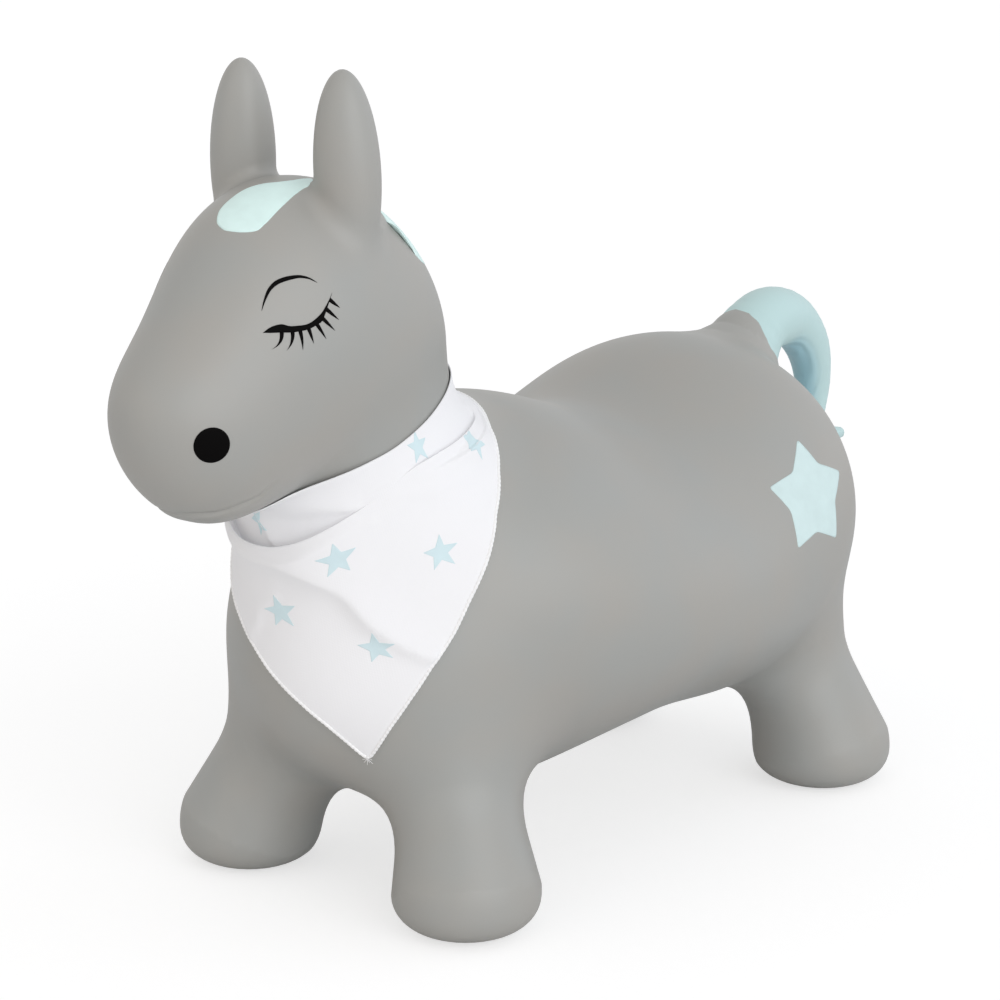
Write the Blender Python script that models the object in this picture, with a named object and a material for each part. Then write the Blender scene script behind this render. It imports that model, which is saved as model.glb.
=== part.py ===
"""Inflatable ride-on donkey with a cotton bandana, at its real size, in metres.

The animal faces -Y, its left side is +X and +Z is up. The origin is on the floor under the middle
of its length. The skin is one smooth hollow form, blended from ovals, round legs and a curled tail.
It is cut into zones where the soft skin gives: feet that squash up, ears and a tail that bend.
Printed marks are thin films on the skin, and the bandana hangs around the neck on its own ring.
"""

import math

import bmesh
import bpy
import numpy as np
from mathutils import Matrix, Vector

# Trunk and head ovals: height and place of the middle, half sizes, and the nose-down tilt.
CHEST_Y = -0.1060
CHEST_Z = 0.1570
CHEST_HALF_WIDTH = 0.0980
CHEST_HALF_LENGTH = 0.1190
CHEST_HALF_HEIGHT = 0.1020
CHEST_TILT_DEG = 11.0
BARREL_Y = 0.0070
BARREL_Z = 0.1620
BARREL_HALF_WIDTH = 0.1430
BARREL_HALF_LENGTH = 0.1540
BARREL_HALF_HEIGHT = 0.0870
BARREL_TILT_DEG = -12.5
RUMP_Y = 0.1450
RUMP_Z = 0.1810
RUMP_HALF_WIDTH = 0.1235
RUMP_HALF_LENGTH = 0.0900
RUMP_HALF_HEIGHT = 0.1035
RUMP_TILT_DEG = -13.0
WITHERS_Y = -0.0730
WITHERS_Z = 0.1995
WITHERS_HALF_WIDTH = 0.0850
WITHERS_HALF_LENGTH = 0.0780
WITHERS_HALF_HEIGHT = 0.0595
WITHERS_TILT_DEG = -2.0
NECK_Y = -0.1625
NECK_Z = 0.2595
NECK_HALF_WIDTH = 0.0640
NECK_HALF_LENGTH = 0.0640
NECK_HALF_HEIGHT = 0.0835
NECK_TILT_DEG = 7.5
SKULL_Y = -0.1923
SKULL_Z = 0.3460
SKULL_HALF_WIDTH = 0.0678
SKULL_HALF_LENGTH = 0.0736
SKULL_HALF_HEIGHT = 0.0948
SKULL_TILT_DEG = 41.6
MUZZLE_Y = -0.2939
MUZZLE_Z = 0.2975
MUZZLE_HALF_WIDTH = 0.0300
MUZZLE_HALF_LENGTH = 0.0278
MUZZLE_HALF_HEIGHT = 0.0402
MUZZLE_TILT_DEG = 34.1
EAR_X = 0.0395
EAR_Y = -0.2035
EAR_Z = 0.4370
EAR_HALF_WIDTH = 0.0190
EAR_HALF_DEPTH = 0.0175
EAR_HALF_HEIGHT = 0.0560
EAR_TILT_DEG = 1.5
EAR_SPLAY_DEG = 1.8

# How far apart two forms start to flow into each other.
TRUNK_REACH = 0.0900
WITHERS_REACH = 0.0630
LEG_REACH = 0.0430
NECK_REACH = 0.0455
HEAD_REACH = 0.1129
EAR_REACH = 0.0100
JAW_REACH = 0.0195
TAIL_REACH = 0.0200
SOLE_REACH = 0.0220
AIR_REACH_SHARE = 0.7
SOLE_RELIEF = 0.0015

# Legs: hip end, foot end and radii; the waist is the thinnest place.
FRONT_HIP_X = 0.0510
FRONT_HIP_Y = -0.1375
FRONT_HIP_Z = 0.1345
FRONT_HIP_RADIUS = 0.0327
FRONT_WAIST_RADIUS = 0.0334
FRONT_FOOT_X = 0.0862
FRONT_FOOT_Y = -0.1614
FRONT_FOOT_Z = 0.0227
FRONT_FOOT_RADIUS = 0.0434
REAR_HIP_X = 0.0530
REAR_HIP_Y = 0.1725
REAR_HIP_Z = 0.1485
REAR_HIP_RADIUS = 0.0250
REAR_WAIST_RADIUS = 0.0320
REAR_FOOT_X = 0.0946
REAR_FOOT_Y = 0.1796
REAR_FOOT_Z = 0.0212
REAR_FOOT_RADIUS = 0.0449
LEG_WAIST_SHARE = 0.485
FLARE_START = 0.2
LEG_BEAD_COUNT = 8

# Tail: a curled tube whose line and radius are shares of its reach, its rise and its root.
TAIL_ROOT_Y = 0.1880
TAIL_ROOT_Z = 0.2395
TAIL_ROOT_RADIUS = 0.0335
TAIL_LENGTH = 0.1420
TAIL_RISE = 0.0405
TAIL_PATH_SHARES = (
    (0.00, 0.00, 1.00),
    (0.257, 0.83, 0.66),
    (0.412, 1.00, 0.61),
    (0.577, 0.85, 0.52),
    (0.715, 0.36, 0.45),
    (0.768, -0.28, 0.36),
    (0.761, -1.17, 0.254),
    (1.00, -1.33, 0.125),
)
TAIL_STEP_COUNT = 4
TAIL_HOLLOW_COUNT = 3

# Skin wall, the gap between neighbouring zones, and where the zones meet.
WALL = 0.0030
SEAM_GAP = 0.0003
NECK_CUT_Y = -0.1625
NECK_CUT_Z = 0.2820
NECK_CUT_TILT_DEG = 20.0
FOOT_HEIGHT = 0.0280
LEG_TOP = 0.0500
LEG_INNER_X = 0.0200
LEG_ZONE_HALF = 0.0800
EAR_CUT_Z = 0.4335
EAR_ROOT_HEIGHT = 0.0120
EAR_AIR_RADIUS = 0.0110
TAIL_AIR_RADIUS = 0.0140
AIR_PASSAGE_DEPTH = 0.0300
TAIL_CUT_Y = 0.2225
TAIL_CUT_Z = 0.2715
TAIL_CUT_TILT_DEG = 53.0
TAIL_ZONE_HALF = 0.0500
ZONE_REACH = 0.4000

# Mesh sizes: the coarse skin, the finer ears and tail, and the hidden inner wall.
SKIN_EDGE = 0.0175
FINE_EDGE = 0.0085
INNER_EDGE = 0.0215
FINE_INNER_EDGE = 0.0105
PROBE = 0.0002
LEAST_STEEPNESS = 0.05
SETTLE_ROUNDS = 10
SPREAD_ROUNDS = 3
SMOOTH_FACTOR = 0.5

# Air valve under the belly: flange, tube, bore and the push-in plug.
VALVE_Y = 0.0225
FLANGE_RADIUS = 0.0130
FLANGE_THICKNESS = 0.0020
TUBE_RADIUS = 0.0070
TUBE_LENGTH = 0.0150
BORE_RADIUS = 0.0045
FLANGE_GAP = 0.0005
PLUG_HEAD_RADIUS = 0.0095
PLUG_HEAD_THICKNESS = 0.0025
PLUG_STEM_LENGTH = 0.0140
PLUG_TIP_RADIUS = 0.0034
PLUG_TIP_LENGTH = 0.0040
ROUND_COUNT = 24

# Printed marks: film thickness, its clearance, and the half size and place of each mark.
FILM = 0.0008
FILM_GAP = 0.0003
FILM_DEPTH = 0.0600
FORELOCK_HALF = 0.0300
FORELOCK_Y = -0.2305
FORELOCK_Z = 0.4235
MANE_HALF_WIDTH = 0.0450
MANE_HALF_HEIGHT = 0.0210
MANE_Y = -0.1370
MANE_Z = 0.3960
STAR_HALF = 0.0380
STAR_X = 0.1230
STAR_Y = 0.1175
STAR_Z = 0.2050
EYE_HALF_WIDTH = 0.0220
EYE_X = 0.0536
EYE_Y = -0.2534
EYE_Z = 0.3684
BROW_WIDTH = 0.0026
LASH_WIDTH = 0.0017
STROKE_END = 0.12
NOSTRIL_RADIUS = 0.0098
NOSTRIL_X = 0.0383
NOSTRIL_Y = -0.3088
NOSTRIL_Z = 0.3057

# Bandana: its depth below the neck ring, cloth thickness, and the folded collar.
BANDANA_DEPTH = 0.1540
BANDANA_TURN_DEG = 26.0
BANDANA_SPREAD_DEG = 130.0
BANDANA_CLEARANCE = 0.0014
BANDANA_CLOTH = 0.0020
BANDANA_FOLD = 0.0040
FOLD_HALF_WIDTH = 0.0130
FOLD_RADIUS = 0.0760
BANDANA_COLUMN_COUNT = 45
BANDANA_ROW_COUNT = 8
COLLAR_DEPTH = 0.0380
COLLAR_TOP_MEAN = 0.0060
COLLAR_TOP_SWING = 0.0080
COLLAR_FRONT = 0.0110
COLLAR_BACK = 0.0050
COLLAR_CLEARANCE = 0.0022
COLLAR_COLUMN_COUNT = 46
COLLAR_LOOP_COUNT = 11
COLLAR_OPEN_DEG = 1.0
TAB_HALF_DEG = 11.0
TAB_THICKNESS = 0.0015
TAB_COLUMN_COUNT = 7
TAB_ROW_COUNT = 5
CLOTH_REACH = 0.2000

# Outlines of the marks, as shares of their half sizes, right and up on the mark's own face.
FORELOCK_SHARES = (
    (-0.51, -0.65), (-0.08, -0.89), (0.26, -1.00), (0.60, -0.84), (0.70, -0.39), (0.63, 0.00),
    (0.60, 0.42), (0.29, 0.62), (-0.10, 0.50), (-0.38, 0.28), (-0.56, -0.03), (-0.66, -0.36),
)
MANE_SHARES = (
    (-1.0, 0.0), (-0.72, 0.70), (0.0, 1.0), (0.72, 0.70),
    (1.0, 0.0), (0.62, -0.72), (0.0, -0.94), (-0.62, -0.72),
)
STAR_SHARES = (
    (0.27, 0.94), (0.45, 0.46), (1.00, 0.23), (0.58, -0.21), (0.48, -0.79),
    (-0.09, -0.58), (-0.66, -0.74), (-0.59, -0.13), (-0.82, 0.34), (-0.20, 0.45),
)
BROW_SHARES = (
    (-1.00, 0.21), (-0.89, 0.49), (-0.74, 0.74), (-0.50, 0.90),
    (-0.10, 0.98), (0.17, 0.93), (0.39, 0.80),
)
LID_TOP_SHARES = (
    (-1.02, -0.35), (-0.82, -0.22), (-0.57, -0.17), (-0.39, -0.22), (-0.21, -0.23),
    (0.10, -0.19), (0.40, 0.02), (0.61, 0.31), (0.73, 0.53),
)
LASH_ROOT_SHARES = (
    (-0.61, -0.37), (-0.34, -0.39), (-0.14, -0.37), (0.09, -0.33),
    (0.30, -0.22), (0.46, -0.09), (0.59, 0.11), (0.70, 0.33),
)
LASH_TIP_SHARES = (
    (-0.86, -0.77), (-0.49, -0.81), (-0.10, -0.82), (0.19, -0.68),
    (0.50, -0.58), (0.74, -0.38), (0.85, -0.13), (0.90, 0.16),
)

# Bandana hem: degrees away from the tip, and its share of the depth there.
HEM_DEG_AND_SHARES = (
    (0, 1.0), (10, 0.86), (20, 0.745), (28, 0.66), (44, 0.523), (60, 0.415),
    (80, 0.27), (94, 0.20), (106, 0.165), (121, 0.145), (132, 0.135),
)
# Lower edge of the collar: degrees round the ring from the throat, and its share of the depth.
LIP_DEG_AND_SHARES = (
    (-180, 0.34), (-140, 0.30), (-100, 0.42), (-70, 0.72), (-40, 0.92), (-14, 0.81), (15, 0.68),
    (32, 0.47), (53, 0.29), (81, 0.16), (112, 0.27), (150, 0.33), (180, 0.34),
)
# Soft ridges in the bandana: from and to, as degrees round the ring and shares of the depth.
FOLD_DEG_AND_SHARES = (((4, 0.22), (54, 0.68)), ((-30, 0.50), (-2, 0.38)), ((62, 0.42), (92, 0.22)))


def clear_scene():
    for obj in list(bpy.data.objects):
        bpy.data.objects.remove(obj, do_unlink=True)


def flow(a, b, reach):
    """The lower of two fields, rounded off where they lie within reach of each other."""
    near = np.maximum(reach - np.abs(a - b), 0) / reach
    return np.minimum(a, b) - near * near * reach / 4


def oval(points, centre, half, tilt_deg, splay_deg=0.0):
    """About how far each point stands outside a tilted oval; negative inside it."""
    offset = points - np.array(centre)
    tilt = math.radians(tilt_deg)
    splay = math.radians(splay_deg)
    x = offset[..., 0]
    y = math.cos(tilt) * offset[..., 1] + math.sin(tilt) * offset[..., 2]
    z = math.cos(tilt) * offset[..., 2] - math.sin(tilt) * offset[..., 1]
    across = math.cos(splay) * x - math.sin(splay) * z
    along = math.sin(splay) * x + math.cos(splay) * z
    unit = np.stack([across / half[0], y / half[1], along / half[2]], axis=-1)
    size = np.linalg.norm(unit, axis=-1) + PROBE
    slope = np.linalg.norm(unit / np.array(half), axis=-1) + PROBE
    return size * (size - 1) / slope


CHEST = ((0, CHEST_Y, CHEST_Z), (CHEST_HALF_WIDTH, CHEST_HALF_LENGTH, CHEST_HALF_HEIGHT), CHEST_TILT_DEG)
BARREL = (
    (0, BARREL_Y, BARREL_Z),
    (BARREL_HALF_WIDTH, BARREL_HALF_LENGTH, BARREL_HALF_HEIGHT),
    BARREL_TILT_DEG,
)
RUMP = ((0, RUMP_Y, RUMP_Z), (RUMP_HALF_WIDTH, RUMP_HALF_LENGTH, RUMP_HALF_HEIGHT), RUMP_TILT_DEG)
WITHERS = (
    (0, WITHERS_Y, WITHERS_Z),
    (WITHERS_HALF_WIDTH, WITHERS_HALF_LENGTH, WITHERS_HALF_HEIGHT),
    WITHERS_TILT_DEG,
)
NECK = ((0, NECK_Y, NECK_Z), (NECK_HALF_WIDTH, NECK_HALF_LENGTH, NECK_HALF_HEIGHT), NECK_TILT_DEG)
SKULL = ((0, SKULL_Y, SKULL_Z), (SKULL_HALF_WIDTH, SKULL_HALF_LENGTH, SKULL_HALF_HEIGHT), SKULL_TILT_DEG)
MUZZLE = (
    (0, MUZZLE_Y, MUZZLE_Z),
    (MUZZLE_HALF_WIDTH, MUZZLE_HALF_LENGTH, MUZZLE_HALF_HEIGHT),
    MUZZLE_TILT_DEG,
)
EAR_HALF = (EAR_HALF_WIDTH, EAR_HALF_DEPTH, EAR_HALF_HEIGHT)

LEGS = {}
for side_name, side in (("left", 1), ("right", -1)):
    LEGS["front_" + side_name] = (
        (side * FRONT_HIP_X, FRONT_HIP_Y, FRONT_HIP_Z),
        (side * FRONT_FOOT_X, FRONT_FOOT_Y, FRONT_FOOT_Z),
        (FRONT_HIP_RADIUS, FRONT_WAIST_RADIUS, FRONT_FOOT_RADIUS),
    )
    LEGS["rear_" + side_name] = (
        (side * REAR_HIP_X, REAR_HIP_Y, REAR_HIP_Z),
        (side * REAR_FOOT_X, REAR_FOOT_Y, REAR_FOOT_Z),
        (REAR_HIP_RADIUS, REAR_WAIST_RADIUS, REAR_FOOT_RADIUS),
    )


def ease(share):
    share = np.clip(share, 0, 1)
    return share * share * (3 - 2 * share)


def leg_radius(share, radii):
    """Radius along a leg: hip to waist, then a flare that starts softly and runs straight to the foot."""
    hip, waist, foot = radii
    below = np.clip((share - LEG_WAIST_SHARE) / (1 - LEG_WAIST_SHARE), 0, 1)
    flare = below * below * (1 + FLARE_START) / (below + FLARE_START)
    return hip + (waist - hip) * ease(share / LEG_WAIST_SHARE) + (foot - waist) * flare


def leg_field(points, hip, foot, radii):
    line = np.array(foot) - np.array(hip)
    share = np.clip((points - np.array(hip)) @ line / (line @ line), 0, 1)
    distance = np.linalg.norm(points - np.array(hip) - share[..., None] * line, axis=-1)
    return distance - leg_radius(share, radii)


def smooth_line(knots, step_count, closed=False):
    """Points on a smooth curve through the knots, whatever number of values each has."""
    knots = np.array(knots, float)
    if closed:
        padded = np.vstack([knots[-1:], knots, knots[:2]])
    else:
        padded = np.vstack([2 * knots[0] - knots[1], knots, 2 * knots[-1] - knots[-2]])
    shares = np.arange(step_count)[:, None] / step_count
    rows = []
    for a, b, c, d in zip(padded[:-3], padded[1:-2], padded[2:-1], padded[3:]):
        bend = (2 * a - 5 * b + 4 * c - d) * shares**2 + (3 * b - a - 3 * c + d) * shares**3
        rows.append((2 * b + (c - a) * shares + bend) / 2)
    if not closed:
        rows.append(knots[-1:])
    return np.vstack(rows)


def tail_line():
    """The tail's middle line as rows of y, z and radius."""
    knots = [
        (TAIL_ROOT_Y + TAIL_LENGTH * y, TAIL_ROOT_Z + TAIL_RISE * z, TAIL_ROOT_RADIUS * radius)
        for y, z, radius in TAIL_PATH_SHARES
    ]
    return smooth_line(knots, TAIL_STEP_COUNT)


def tail_field(points, line):
    """Distance to the fattened line: the nearest of its short tapered pieces."""
    field = None
    for (y0, z0, radius0), (y1, z1, radius1) in zip(line[:-1], line[1:]):
        start = np.array((0, y0, z0))
        run = np.array((0, y1 - y0, z1 - z0))
        share = np.clip((points - start) @ run / (run @ run), 0, 1)
        distance = np.linalg.norm(points - start - share[..., None] * run, axis=-1)
        piece = distance - radius0 - share * (radius1 - radius0)
        field = piece if field is None else np.minimum(field, piece)
    return field


TAIL = tail_line()
HOLLOW_TAIL = TAIL[: TAIL_HOLLOW_COUNT * TAIL_STEP_COUNT + 1]


def body_field(points, reach_share=1):
    """Trunk, legs and neck; the reach share draws in the rounding where they meet."""
    field = flow(oval(points, *CHEST), oval(points, *BARREL), TRUNK_REACH)
    field = flow(field, oval(points, *RUMP), TRUNK_REACH)
    field = flow(field, oval(points, *WITHERS), WITHERS_REACH)
    for leg in LEGS.values():
        field = flow(field, leg_field(points, *leg), LEG_REACH * reach_share)
    field = flow(field, oval(points, *NECK), NECK_REACH * reach_share)
    return -flow(-field, points[..., 2] + SOLE_RELIEF, SOLE_REACH)


def head_field(points, sides=(1, -1)):
    """Skull and muzzle, with an ear on each of the given sides."""
    field = flow(oval(points, *SKULL), oval(points, *MUZZLE), HEAD_REACH)
    for side in sides:
        turned = points * np.array((side, 1, 1))
        ear = oval(turned, (EAR_X, EAR_Y, EAR_Z), EAR_HALF, EAR_TILT_DEG, -EAR_SPLAY_DEG)
        field = flow(field, ear, EAR_REACH)
    return field


def skin_field(points):
    """Negative inside the animal, zero on its skin, and about the distance outside it."""
    field = flow(body_field(points), head_field(points), JAW_REACH)
    return flow(field, tail_field(points, TAIL), TAIL_REACH)


def room_field(points):
    """Like the skin without its ears and tail, and drawn in at the corners for a thicker wall."""
    return flow(body_field(points, AIR_REACH_SHARE), head_field(points, ()), JAW_REACH * AIR_REACH_SHARE)


def air_field(points):
    """Like the skin, drawn in at the corners, and without the solid thin end of the tail."""
    field = flow(body_field(points, AIR_REACH_SHARE), head_field(points), JAW_REACH * AIR_REACH_SHARE)
    return flow(field, tail_field(points, HOLLOW_TAIL), TAIL_REACH * AIR_REACH_SHARE)


def slope_of(field, points):
    rows = [field(points + step) - field(points - step) for step in np.eye(3) * PROBE]
    return np.stack(rows, axis=-1) / (2 * PROBE)


def settle(points, field, level, longest_step, round_count):
    """Moves points down the field's slope until they lie where it has the given level."""
    for _ in range(round_count):
        slope = slope_of(field, points)
        steep = np.maximum((slope * slope).sum(axis=-1), LEAST_STEEPNESS)
        step = (field(points) - level)[..., None] * slope / steep[..., None]
        length = np.linalg.norm(step, axis=-1, keepdims=True)
        points = points - step * np.minimum(1, longest_step / np.maximum(length, PROBE))
    return points


def strike(origins, directions, field, level, reach, march_count=60, halve_count=18):
    """Distance from inside along each direction to the first place with the given level."""
    steps = np.linspace(0, reach, march_count)
    values = np.stack([field(origins + directions * step) for step in steps])
    outside = values > level
    first = np.maximum(np.argmax(outside, axis=0), 1)
    near = steps[first - 1]
    far = steps[first]
    for _ in range(halve_count):
        middle = (near + far) / 2
        out = field(origins + directions * middle[..., None]) > level
        far = np.where(out, middle, far)
        near = np.where(out, near, middle)
    return (near + far) / 2


def new_object(name, mesh):
    obj = bpy.data.objects.new(name, mesh)
    bpy.context.scene.collection.objects.link(obj)
    return obj


def mesh_from(points, faces, name):
    mesh = bpy.data.meshes.new(name)
    mesh.from_pydata([tuple(point) for point in np.asarray(points, float).reshape(-1, 3)], [], faces)
    mesh.validate()
    return mesh


def read_points(mesh):
    flat = np.empty(len(mesh.vertices) * 3)
    mesh.vertices.foreach_get("co", flat)
    return flat.reshape(-1, 3)


def write_points(mesh, points):
    mesh.vertices.foreach_set("co", np.asarray(points, float).ravel())
    mesh.update()


def evaluated_mesh(obj):
    graph = bpy.context.evaluated_depsgraph_get()
    return bpy.data.meshes.new_from_object(obj.evaluated_get(graph))


def add_oval(bm, centre, half, tilt_deg, splay_deg=0.0):
    tilt = Matrix.Rotation(math.radians(tilt_deg), 4, "X")
    splay = Matrix.Rotation(math.radians(splay_deg), 4, "Y")
    place = Matrix.Translation(centre) @ tilt @ splay @ Matrix.Diagonal((*half, 1))
    bmesh.ops.create_uvsphere(bm, u_segments=24, v_segments=16, radius=1, matrix=place)


def add_beads(bm, centres, radii):
    for centre, radius in zip(centres, radii):
        place = Matrix.Translation(Vector(centre)) @ Matrix.Scale(float(radius), 4)
        bmesh.ops.create_uvsphere(bm, u_segments=16, v_segments=10, radius=1, matrix=place)


def blockout(tail, sides):
    """The ovals, and beads along the legs and the tail, as overlapping closed balls."""
    bm = bmesh.new()
    for form in (CHEST, BARREL, RUMP, WITHERS, NECK, SKULL, MUZZLE):
        add_oval(bm, *form)
    for side in sides:
        add_oval(bm, (side * EAR_X, EAR_Y, EAR_Z), EAR_HALF, EAR_TILT_DEG, side * EAR_SPLAY_DEG)
    shares = np.linspace(0, 1, LEG_BEAD_COUNT)
    for hip, foot, radii in LEGS.values():
        centres = np.array(hip) + shares[:, None] * (np.array(foot) - np.array(hip))
        add_beads(bm, centres, leg_radius(shares, radii))
    add_beads(bm, [(0, y, z) for y, z, radius in tail], [radius for y, z, radius in tail])
    mesh = bpy.data.meshes.new("blockout")
    bm.to_mesh(mesh)
    bm.free()
    return mesh


def remeshed(mesh, edge):
    """One skin over overlapping balls, with evenly sized faces."""
    obj = new_object("remesh", mesh)
    remesh = obj.modifiers.new("Remesh", "REMESH")
    remesh.mode = "VOXEL"
    remesh.voxel_size = edge
    result = evaluated_mesh(obj)
    bpy.data.objects.remove(obj)
    return result


def relaxed(mesh, field, level, edge):
    """Spreads the points evenly over the skin, and brings them back onto it each time."""
    write_points(mesh, settle(read_points(mesh), field, level, edge, SETTLE_ROUNDS))
    for _ in range(SPREAD_ROUNDS):
        bm = bmesh.new()
        bm.from_mesh(mesh)
        bmesh.ops.smooth_vert(
            bm, verts=bm.verts, factor=SMOOTH_FACTOR, use_axis_x=True, use_axis_y=True, use_axis_z=True
        )
        bm.to_mesh(mesh)
        bm.free()
        write_points(mesh, settle(read_points(mesh), field, level, edge, SPREAD_ROUNDS))
    return mesh


def skin_mesh(field, level, edge, tail, sides=(1, -1)):
    mesh = relaxed(remeshed(blockout(tail, sides), edge), field, level, edge)
    mesh = relaxed(remeshed(mesh, edge), field, level, edge)
    points = read_points(mesh)
    points[:, 2] = np.maximum(points[:, 2], -level)
    write_points(mesh, points)
    bm = bmesh.new()
    bm.from_mesh(mesh)
    bmesh.ops.triangulate(bm, faces=bm.faces)
    bm.to_mesh(mesh)
    bm.free()
    return mesh


def boolean(obj, other, operation):
    cut = obj.modifiers.new(operation.title(), "BOOLEAN")
    cut.operation = operation
    cut.object = other
    return cut


def as_guide(obj):
    obj.hide_render = True
    obj.display_type = "WIRE"
    return obj


def hollow_shell(form, air):
    """The skin with its wall: the outer form less the air inside it."""
    outer = new_object("outer", form.copy())
    inner = as_guide(new_object("inner", air))
    boolean(outer, inner, "DIFFERENCE")
    shell = evaluated_mesh(outer)
    bpy.data.objects.remove(outer)
    bpy.data.objects.remove(inner)
    return shell


def print_layer(form):
    """A thin layer over the whole skin, facet over facet, from which the printed marks are cut."""
    points = read_points(form)
    low = settle(points, skin_field, FILM_GAP, WALL, 6)
    high = settle(points, skin_field, FILM_GAP + FILM, WALL, 6)
    count = len(points)
    outside = [tuple(face.vertices) for face in form.polygons]
    inside = [tuple(count + k for k in face[::-1]) for face in outside]
    return mesh_from(np.concatenate([high, low]), outside + inside, "print_layer")


def block(name, low, high, turn=Matrix.Identity(4)):
    """A box from its low to its high corner, then turned and placed by the matrix."""
    low = Vector(low)
    high = Vector(high)
    bm = bmesh.new()
    place = Matrix.Translation((low + high) / 2) @ Matrix.Diagonal((*(high - low), 1))
    bmesh.ops.create_cube(bm, size=1, matrix=turn @ place)
    mesh = bpy.data.meshes.new(name)
    bm.to_mesh(mesh)
    bm.free()
    return as_guide(new_object(name, mesh))


def material(name, colour, roughness, metallic=0.0):
    made = bpy.data.materials.new(name)
    made.use_nodes = True
    shader = made.node_tree.nodes["Principled BSDF"]
    shader.inputs["Base Color"].default_value = (*colour, 1)
    shader.inputs["Roughness"].default_value = roughness
    shader.inputs["Metallic"].default_value = metallic
    return made


MATERIAL_VALUES = {
    "grey_vinyl": ((0.36, 0.36, 0.35), 0.55),
    "mint_vinyl": ((0.58, 0.83, 0.82), 0.50),
    "black_print": ((0.006, 0.006, 0.005), 0.45),
    "white_cotton": ((0.86, 0.86, 0.87), 0.90),
    "white_plug": ((0.85, 0.85, 0.83), 0.40),
}


def finish(obj, materials, slot):
    """Gives a sub-part its material and smooth shading with crisp real edges."""
    obj.data.materials.clear()
    obj.data.materials.append(materials[slot])
    obj.data.shade_smooth()
    obj.data.set_sharp_from_angle(angle=math.radians(40))
    return obj


def zone(name, shell, keep, cuts):
    """One zone of the skin: the shell inside every keep box and outside every cut box."""
    obj = new_object(name, shell.copy())
    for box in keep:
        boolean(obj, box, "INTERSECT")
    for box in cuts:
        boolean(obj, box, "DIFFERENCE")
    mesh = evaluated_mesh(obj)
    bpy.data.objects.remove(obj)
    return new_object(name, largest_body(mesh))


def largest_body(mesh):
    """Keeps the biggest connected body, so that a zone never holds a stray sliver."""
    bm = bmesh.new()
    bm.from_mesh(mesh)
    bmesh.ops.remove_doubles(bm, verts=bm.verts, dist=PROBE / 10)
    left = set(bm.verts)
    bodies = []
    while left:
        body = set()
        front = [left.pop()]
        while front:
            vert = front.pop()
            body.add(vert)
            for edge in vert.link_edges:
                other = edge.other_vert(vert)
                if other in left:
                    left.remove(other)
                    front.append(other)
        bodies.append(body)
    bodies.sort(key=len)
    for body in bodies[:-1]:
        bmesh.ops.delete(bm, geom=list(body), context="VERTS")
    bm.to_mesh(mesh)
    bm.free()
    return mesh


def set_pivot(obj, point):
    """Moves an object's own origin to a point without moving its surface."""
    obj.data.transform(Matrix.Translation(-Vector(point)))
    obj.location = point


def tilted_frame(place, tilt_deg):
    """Turned so that its own Z leans forwards from straight up by the tilt."""
    return Matrix.Translation(place) @ Matrix.Rotation(math.radians(tilt_deg), 4, "X")


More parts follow.
